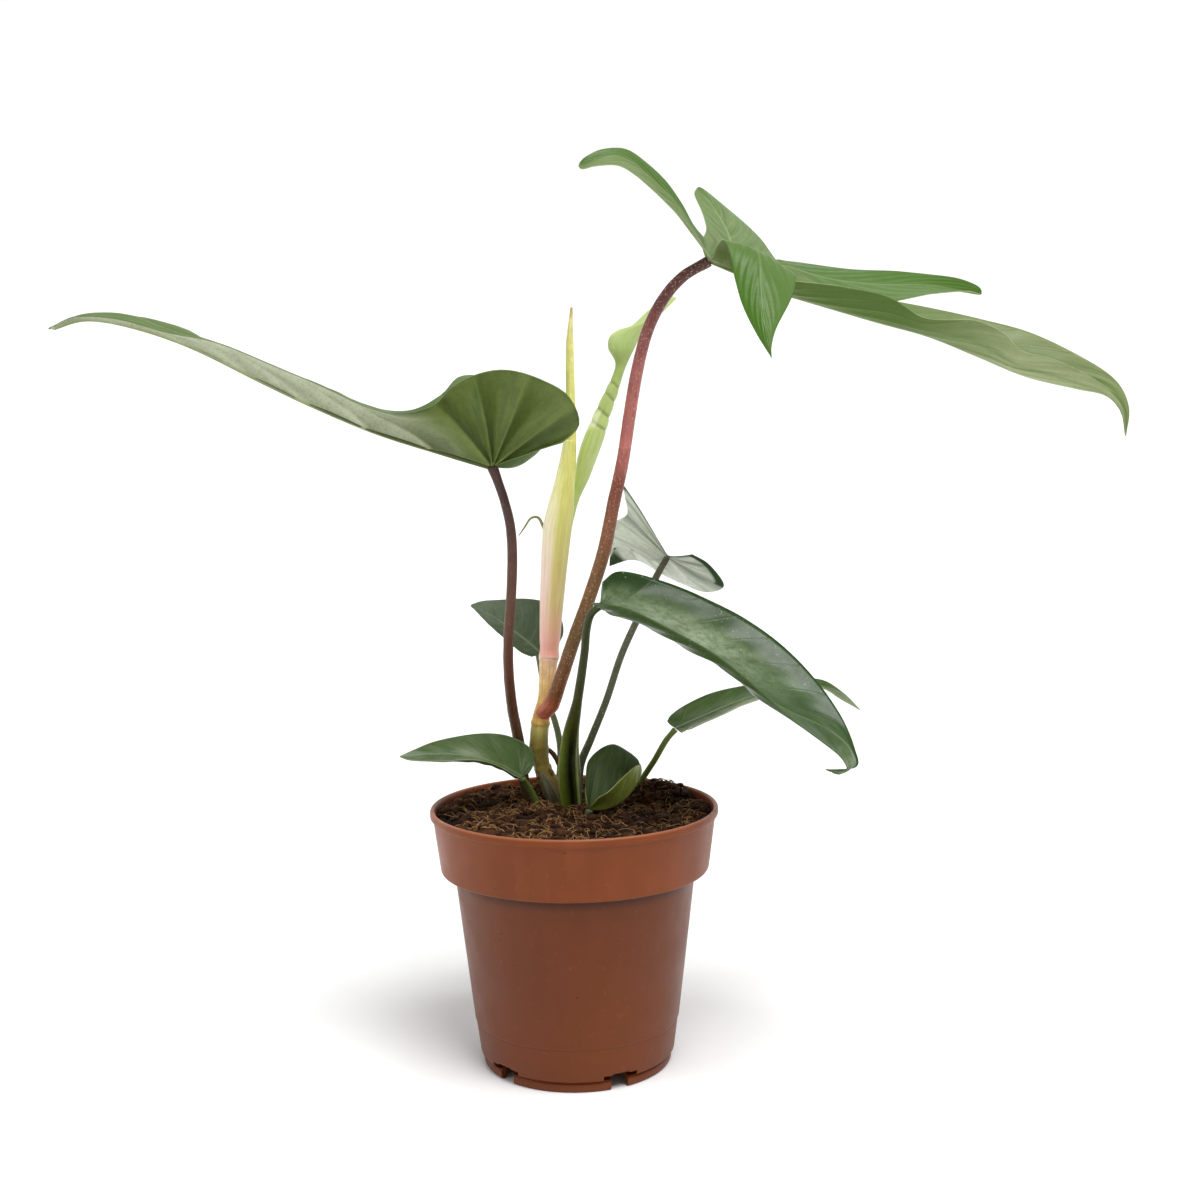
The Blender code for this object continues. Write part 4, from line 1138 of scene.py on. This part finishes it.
# For each lobe's left and right half: how pale, how deep green and how free of veins it is.
LOBE_TONES = {
    "basal_right": ((0.0, 0.45, 0.3), (0.35, 0.0, 0.2)),
    "side_right": ((0.0, 0.95, 0.9), (0.0, 0.6, 0.9)),
    "middle": ((0.0, 0.0, 0.3), (0.9, 0.0, 0.3)),
    "side_left": ((0.0, 0.4, 0.6), (0.0, 0.75, 0.6)),
    "basal_left": ((0.1, 0.0, 0.0), (0.3, 0.0, 0.0)),
}

# Each side of a leaf has a dark tone, a light tone, a vein tone and the tone it turns to at its far end; on
# the left blade's underside that far tone is a painted reflection sheen, and on the front blade's upper
# side it is the colour of its painted sheen and paler tip.
# Folds gives how strong the painted shade in a blade's folds is.
PLAIN_LOOK = {
    "far_from": 0.4, "far_to": 1.0, "gloss": 0.06, "rough": 0.42, "flecks": 0.0,
    "veins": 0.2, "relief": 0.3, "wave": 0.3, "folds": 0.2, "mottle": 0.2,
}
LEAF_LOOKS = {
    "left": {
        "upper": ((76, 100, 46), (112, 136, 80), (140, 158, 108), (96, 118, 66)),
        # Painted reflection sheen: the underside's far tone pales the blade away from the stalk.
        "under": ((64, 82, 24), (110, 127, 60), (134, 146, 86), (206, 212, 188)),
        "rim": (104, 120, 66), "deep": (60, 78, 24),
        "far_from": 0.03, "far_to": 0.23, "gloss": 0.02, "rough": 0.45,
        "veins": 0.25, "vein_count": 7, "relief": 1.9, "wave": 0.8, "folds": 0.95, "mottle": 0.1,
        "rib": (1.0, (74, 86, 42), (150, 158, 122)),
    },
    "top": {
        "upper": ((74, 104, 38), (120, 146, 90), (150, 168, 116), (144, 156, 108)),
        "under": ((62, 78, 26), (112, 128, 70), (160, 176, 122), (172, 184, 138)),
        "rim": (150, 168, 112), "deep": (66, 106, 18), "far_from": 0.98, "gloss": 0.04,
        "veins": 0.3, "vein_count": 7, "relief": 0.35, "wave": 0.35, "folds": 0.3, "mottle": 0.12,
    },
    "front": {
        "upper": ((28, 52, 12), (90, 114, 68), (112, 134, 80), (158, 172, 146)),
        "under": ((64, 84, 42), (92, 110, 70), (130, 146, 100), (80, 98, 56)),
        "rim": (60, 90, 34), "deep": (30, 60, 8),
        "far_from": 0.99, "gloss": 0.2, "rough": 0.34, "flecks": 0.5,
        "veins": 0.1, "vein_count": 8, "relief": 0.5, "wave": 0.7, "folds": 0.15, "mottle": 0.6,
    },
    "back_right": {
        "upper": ((160, 178, 152), (248, 252, 242), (170, 180, 158), (190, 196, 176)),
        "under": ((44, 68, 30), (76, 98, 58), (118, 134, 92), (60, 84, 40)),
        "rim": (46, 66, 36), "deep": (46, 70, 36),
        "far_from": 0.55, "far_to": 0.95, "gloss": 0.03, "rough": 0.5,
        "vein_count": 5, "relief": 0.6, "wave": 0.5, "folds": 0.45,
    },
    "back_left": {
        "upper": ((62, 80, 52), (96, 112, 86), (128, 140, 112), (128, 140, 116)),
        "under": ((104, 118, 90), (148, 156, 134), (166, 174, 150), (140, 150, 126)),
        "rim": (104, 118, 84), "deep": (60, 80, 50), "gloss": 0.05, "rough": 0.45, "vein_count": 6,
    },
    "right": {
        "upper": ((44, 70, 20), (84, 108, 56), (158, 172, 130), (156, 164, 138)),
        "under": ((92, 110, 70), (146, 158, 126), (176, 184, 156), (130, 142, 108)),
        "rim": (150, 162, 122), "deep": (40, 64, 20), "far_from": 0.75, "rough": 0.38, "flecks": 0.2,
        "veins": 0.25, "vein_count": 8,
    },
    "low_left": {
        "upper": ((46, 70, 26), (88, 108, 64), (128, 142, 98), (150, 164, 140)),
        "under": ((80, 96, 58), (116, 130, 94), (140, 150, 116), (108, 122, 86)),
        "rim": (120, 134, 90), "deep": (50, 72, 30),
        "far_from": 0.78, "far_to": 1.1, "gloss": 0.08, "rough": 0.4,
        "vein_count": 7, "relief": 0.35,
    },
    "low_round": {
        "upper": ((46, 64, 24), (84, 102, 58), (96, 112, 60), (56, 76, 28)),
        "under": ((112, 126, 40), (150, 160, 76), (166, 172, 100), (126, 138, 52)),
        "rim": (160, 168, 96), "deep": (40, 56, 22), "rough": 0.4, "flecks": 0.1, "vein_count": 6,
    },
}

ROWS = 84
ACROSS = 22
BLADE_THICKNESS = 0.42
VEIN_CURL = 0.16


def edge_tone(name, across, along, turn):
    """How pale, deep green and free of veins a blade is, where pale also lays on painted sheen and painted
    highlights and deep lays on painted shade bands. Turn goes from -1 to 0 behind the joint.
    """
    if name == "front":
        edge = climb(-across, 0.66, 0.2)
        near_half = 0.5 * climb(across, 0.0, 0.333) * (1 - bell(along, 1.0, 0.3))
        lower = 0.55 * bell(along, 0.66, 0.16) * (1 - edge)
        sheen = 0.85 * bell(across, -0.45, 0.32) * bell(along, 0.22, 0.26)
        tip = 0.5 * bell(along, 0.92, 0.10) * (1 - edge)
        return (max(sheen, tip), max(edge * 0.85, near_half, lower), 0.3)
    if name == "right":
        return (0.5 * climb(across, 0.1, 0.15), 0.0, 0.2)
    if name == "low_left":
        shine = 0.8 * bell(along, 0.45, 0.1) * bell(across, 0.25, 0.3)
        return (shine, 0.6 * climb(-across, 0.0, 0.5), 0.3)
    if name == "back_right":
        curl = climb(-across, 0.80, 0.06) if turn < -0.28 else 0.0
        if across > 0:
            curl = climb(across, 0.88, 0.06) if turn < -0.9 else 0.0
        tip = climb(along, 0.8, 0.06)
        top_edge = 0.85 * bell(turn, -1.0, 0.05)
        shade = 0.5 * bell(turn, -0.66, 0.07) + 0.42 * bell(turn, -0.25, 0.09)
        return (0.0, max(curl, tip, top_edge, shade), 0.0)
    return (0.0, 0.0, 0.0)


def blade_half(surface, name, shape, side, hole, vein_count):
    """One half of a blade: rows from the midrib to the edge, from behind the joint to the tip."""
    number = ("left", "right").index(side)
    midrib = plant_curve(shape["midrib"])
    edge = plant_curve(shape[side] + shape["midrib"][-1:])
    turn_share = edge.reach[shape["behind"][number]]
    bulge = shape["bulge"][number]
    sign = (-1, 1)[number]
    fan = max(4, round(ROWS * turn_share))
    most_turn = turn_share * 1.6
    rows = [(0.0, turn_share * step / fan, -(1 - step / fan) * most_turn) for step in range(fan)]
    for step in range(ROWS + 1):
        share = step / ROWS
        rows.append((share, turn_share + (1 - turn_share) * share, share))
    joint = midrib(0.0)
    first_share = hole / midrib.length
    grid = []
    for index, (rib_share, edge_share, vein_share) in enumerate(rows):
        end = edge(edge_share)
        start = midrib(first_share + (1 - first_share) * rib_share)
        if index < fan:
            start = joint + (end - joint).normalized() * hole
        before = edge(rows[max(index - 1, 0)][1])
        after = edge(rows[min(index + 1, len(rows) - 1)][1])
        across = end - start
        upward = (after - before).cross(across) * sign
        if upward.length > 0:
            upward.normalize()
        row = []
        for step in range(ACROSS + 1):
            share = step / ACROSS
            lift = upward * bulge * across.length * 4 * share * (1 - share)
            place = (vein_share - VEIN_CURL * share ** 2 * climb(vein_share, 0.0, 0.125)) * vein_count
            tone = edge_tone(name, sign * share, rib_share, min(0.0, vein_share / most_turn))
            leaf = (place, share * sign, rib_share)
            row.append(surface.point(start + across * share + lift, leaf=leaf, tone=tone))
        grid.append(row)
    return grid


def relieve(mesh, look, seed):
    """Move the sheet's points along its normals: grooves along the veins, soft quilting and a wavy edge."""
    mesh.update()
    normals = [vertex.normal.copy() for vertex in mesh.vertices]
    leaf = [value.vector.copy() for value in mesh.attributes["leaf"].data]
    for vertex, normal, (place, across, along) in zip(mesh.vertices, normals, leaf):
        size = abs(across)
        body = math.sin(math.pi * min(1.0, size ** 0.8)) * min(1.0, (1 - along) * 5)
        quilt = 0.5 - 0.5 * math.cos(math.tau * place)
        distance = abs((place + 0.5) % 1.0 - 0.5)
        groove = math.exp(-(distance / 0.07) ** 2) * (1 - size) ** 0.5 * min(1.0, size * 8)
        rib = math.exp(-(size / 0.035) ** 2)
        wave = noise.noise(vertex.co * 45 + Vector((seed, 0, 0))) * size ** 2
        dimple = noise.noise(vertex.co * 170 + Vector((0, seed, 0))) * 0.25
        height = look["relief"] * (body * quilt * 0.9 - groove * 0.35 - rib * 0.6 + dimple * body)
        vertex.co += normal * (height + look["wave"] * wave) * MM


def finish_blade(name, surface, look, seed):
    mesh = surface.mesh(f"{name}_blade_skin", merge=True)
    relieve(mesh, look, seed)
    finishes = [leaf_finish(f"{name}_leaf_{side}", look, side) for side in ("upper", "under")]
    finishes.append(rim_finish(f"{name}_leaf_rim", look["rim"]))
    blade = add_piece(f"{name}_blade_skin", mesh, finishes, "leaf_blades", f"{name}_leaf_blade")
    solidify = blade.modifiers.new("thickness", "SOLIDIFY")
    solidify.thickness = BLADE_THICKNESS * MM
    solidify.offset = -1.0
    solidify.material_offset = 1
    solidify.material_offset_rim = 2


def make_rib(name, points, radius, near, far):
    """The raised midrib under a blade, thinning from the stalk to the tip."""
    last = len(points) - 1
    radii = [radius * (1 - 0.8 * index / last) for index in range(last + 1)]
    lower = [(x, y, z - 0.45 * radius) for x, y, z in points]
    surface = tube_surface(lower, radii, 14, 1.2)
    finish = stalk_finish(f"{name}_rib_skin", ((0.0, near), (0.3, near), (0.75, far)), (170, 180, 140), 0.2)
    add_piece(f"{name}_rib_skin", surface.mesh(f"{name}_rib_skin"), [finish], "leaf_blades")


def make_blades():
    for seed, (name, shape) in enumerate(BLADES.items()):
        look = {**PLAIN_LOOK, **LEAF_LOOKS[name]}
        surface = Surface()
        hole = STALKS[name][1][-1] * 0.2
        for side in ("left", "right"):
            rows = blade_half(surface, name, shape, side, hole, look["vein_count"])
            surface.grid(rows, flip=side == "left")
        finish_blade(name, surface, look, seed * 7.3)
        if "rib" in look:
            make_rib(name, shape["midrib"], *look["rib"])


def lobe_tone(name):
    """A function of place across and along the lobe: its half's own tone, changed near the joint."""
    left, right = LOBE_TONES[name]

    def tone(across, along):
        pale, deep, calm = Vector(left).lerp(Vector(right), climb(across, -0.25, 0.5))
        hub = bell(along, 0.0, 0.10)
        if name == "side_right":
            deep *= min(1.0, along * 2.5)
            # Painted highlight: a pale strip along the ridge where the lobe bends over.
            pale += 0.4 * bell(along, 0.15, 0.06)
        if name == "middle":
            far = climb(along, 0.3, 0.3)
            pale = max(pale, 0.9 * far)
            folds = sum(amount * bell(across, middle, width) for amount, middle, width in LOBE_FOLDS)
            # Painted shade: the middle lobe darkens near the joint and, further out, along its folds.
            deep = 0.45 * (1 - far) + far * folds
            hub *= 0.3
        return (min(1.0, pale + hub * 0.15), deep * (1 - 0.6 * hub), calm)

    return tone


def curved_row(surface, left, middle, right, along, vein_count, crease, tone):
    """Points across a lobe, on a soft arch through its left edge, vein and right edge."""
    row = []
    for step in range(-ACROSS, ACROSS + 1):
        across = step / ACROSS
        arch = middle + (right - left) * across / 2 + ((left + right) / 2 - middle) * across ** 2
        straight = middle.lerp(right if across > 0 else left, abs(across))
        place = (along - 0.45 * abs(across)) * vein_count
        leaf = (place, across, along)
        row.append(surface.point(arch.lerp(straight, crease), leaf=leaf, tone=tone(across, along)))
    return row


def make_top_blade():
    look = {**PLAIN_LOOK, **LEAF_LOOKS["top"]}
    joint = plant_point(TOP_JOINT)
    surface = Surface()
    for name, lobe in TOP_LOBES.items():
        lines = [plant_curve(lobe[line]) for line in ("left", "vein", "right")]
        tone = lobe_tone(name)
        steps = max(30, int(lines[1].length / 1.6))
        rows = []
        for share in (0.03, 0.12, 0.3, 0.5, 0.7, 0.85):
            ends = [joint.lerp(line(0.0), share) for line in lines]
            rows.append(curved_row(surface, *ends, 0.0, look["vein_count"], 0.5, tone))
        for step in range(steps + 1):
            share = step / steps
            ends = [line(share) for line in lines]
            rows.append(curved_row(surface, *ends, share, look["vein_count"], 0.35, tone))
        surface.grid(rows, flip=True)
    finish_blade("top", surface, look, 61.0)


# Floor, light and camera.


FLOOR_SIDE = 5.0
FLOOR_FRONT = -2.5
CURVE_START = 1.2
CURVE_RADIUS = 0.9
CURVE_STEPS = 12
BACKDROP_TOP = 4.0
# What the lamps point at, and the camera's place and turns, in metres and radians.
AIM = Vector((0.0, 0.0, 0.2))
CAMERA_PLACE = (0.0, -0.62, 0.2508)
YAW, PITCH, ROLL = 0.01916, 0.09189, -0.013265


def make_stage():
    """A pale floor that curves up into a backdrop, in metres."""
    profile = [(FLOOR_FRONT, 0.0), (CURVE_START, 0.0)]
    for step in range(1, CURVE_STEPS + 1):
        turn = math.pi / 2 * step / CURVE_STEPS
        profile.append((CURVE_START + CURVE_RADIUS * math.sin(turn), CURVE_RADIUS * (1 - math.cos(turn))))
    profile.append((CURVE_START + CURVE_RADIUS, BACKDROP_TOP))
    points = [(side, y, z) for y, z in profile for side in (-FLOOR_SIDE, FLOOR_SIDE)]
    faces = [[2 * i, 2 * i + 1, 2 * i + 3, 2 * i + 2] for i in range(len(profile) - 1)]
    mesh = bpy.data.meshes.new("floor")
    mesh.from_pydata(points, [], faces)
    mesh.shade_smooth()
    coat = Finish("pale_floor")
    coat.base(coat.ramp(coat.noise(3.0, 2.0), (0.3, 0.90), (0.7, 0.92)))
    mesh.materials.append(coat.finish(0.9, []))
    floor = bpy.data.objects.new("floor", mesh)
    bpy.context.scene.collection.objects.link(floor)


def add_light(name, kind, place, size, strength):
    """Size is an angle for a sun and a width in metres for a disk."""
    light = bpy.data.lights.new(name, kind)
    light.energy = strength
    if kind == "SUN":
        light.angle = size
    else:
        light.shape = "DISK"
        light.size = size
    lamp = bpy.data.objects.new(name, light)
    lamp.location = place
    lamp.rotation_euler = (AIM - Vector(place)).to_track_quat("-Z", "Y").to_euler()
    bpy.context.scene.collection.objects.link(lamp)


WORLD_STRENGTH = 0.38


def make_light():
    world = bpy.data.worlds.new("studio")
    world.use_nodes = True
    background = world.node_tree.nodes["Background"]
    background.inputs["Color"].default_value = (1.0, 1.0, 1.0, 1.0)
    background.inputs["Strength"].default_value = WORLD_STRENGTH
    bpy.context.scene.world = world
    add_light("softbox", "SUN", (0.5, -0.75, 2.1), math.radians(35), 3.0)
    add_light("side", "AREA", (-1.4, -0.6, 0.9), 1.0, 4.0)
    bpy.context.scene.view_settings.view_transform = "Standard"


def make_camera():
    forward = Vector((math.sin(YAW) * math.cos(PITCH), math.cos(YAW) * math.cos(PITCH), -math.sin(PITCH)))
    right = Vector((math.cos(YAW), -math.sin(YAW), 0.0))
    up = right.cross(forward)
    tilted_right = right * math.cos(ROLL) + up * math.sin(ROLL)
    tilted_up = up * math.cos(ROLL) - right * math.sin(ROLL)
    data = bpy.data.cameras.new("camera")
    data.sensor_width = 36.0
    data.lens = 45.24
    data.clip_start = 0.01
    camera = bpy.data.objects.new("camera", data)
    turned = Matrix((tilted_right, tilted_up, -forward)).transposed().to_4x4()
    camera.matrix_world = Matrix.Translation(CAMERA_PLACE) @ turned
    bpy.context.scene.collection.objects.link(camera)
    bpy.context.scene.camera = camera


make_camera()
make_light()
make_stage()
make_pot()
make_soil_bed()
soil_chance = random.Random(4)
make_soil_crumbs(soil_chance)
make_soil_fibres(soil_chance)
make_stem()
make_roots()
make_shoots()
make_new_leaf()
make_stalks()
make_blades()
make_top_blade()
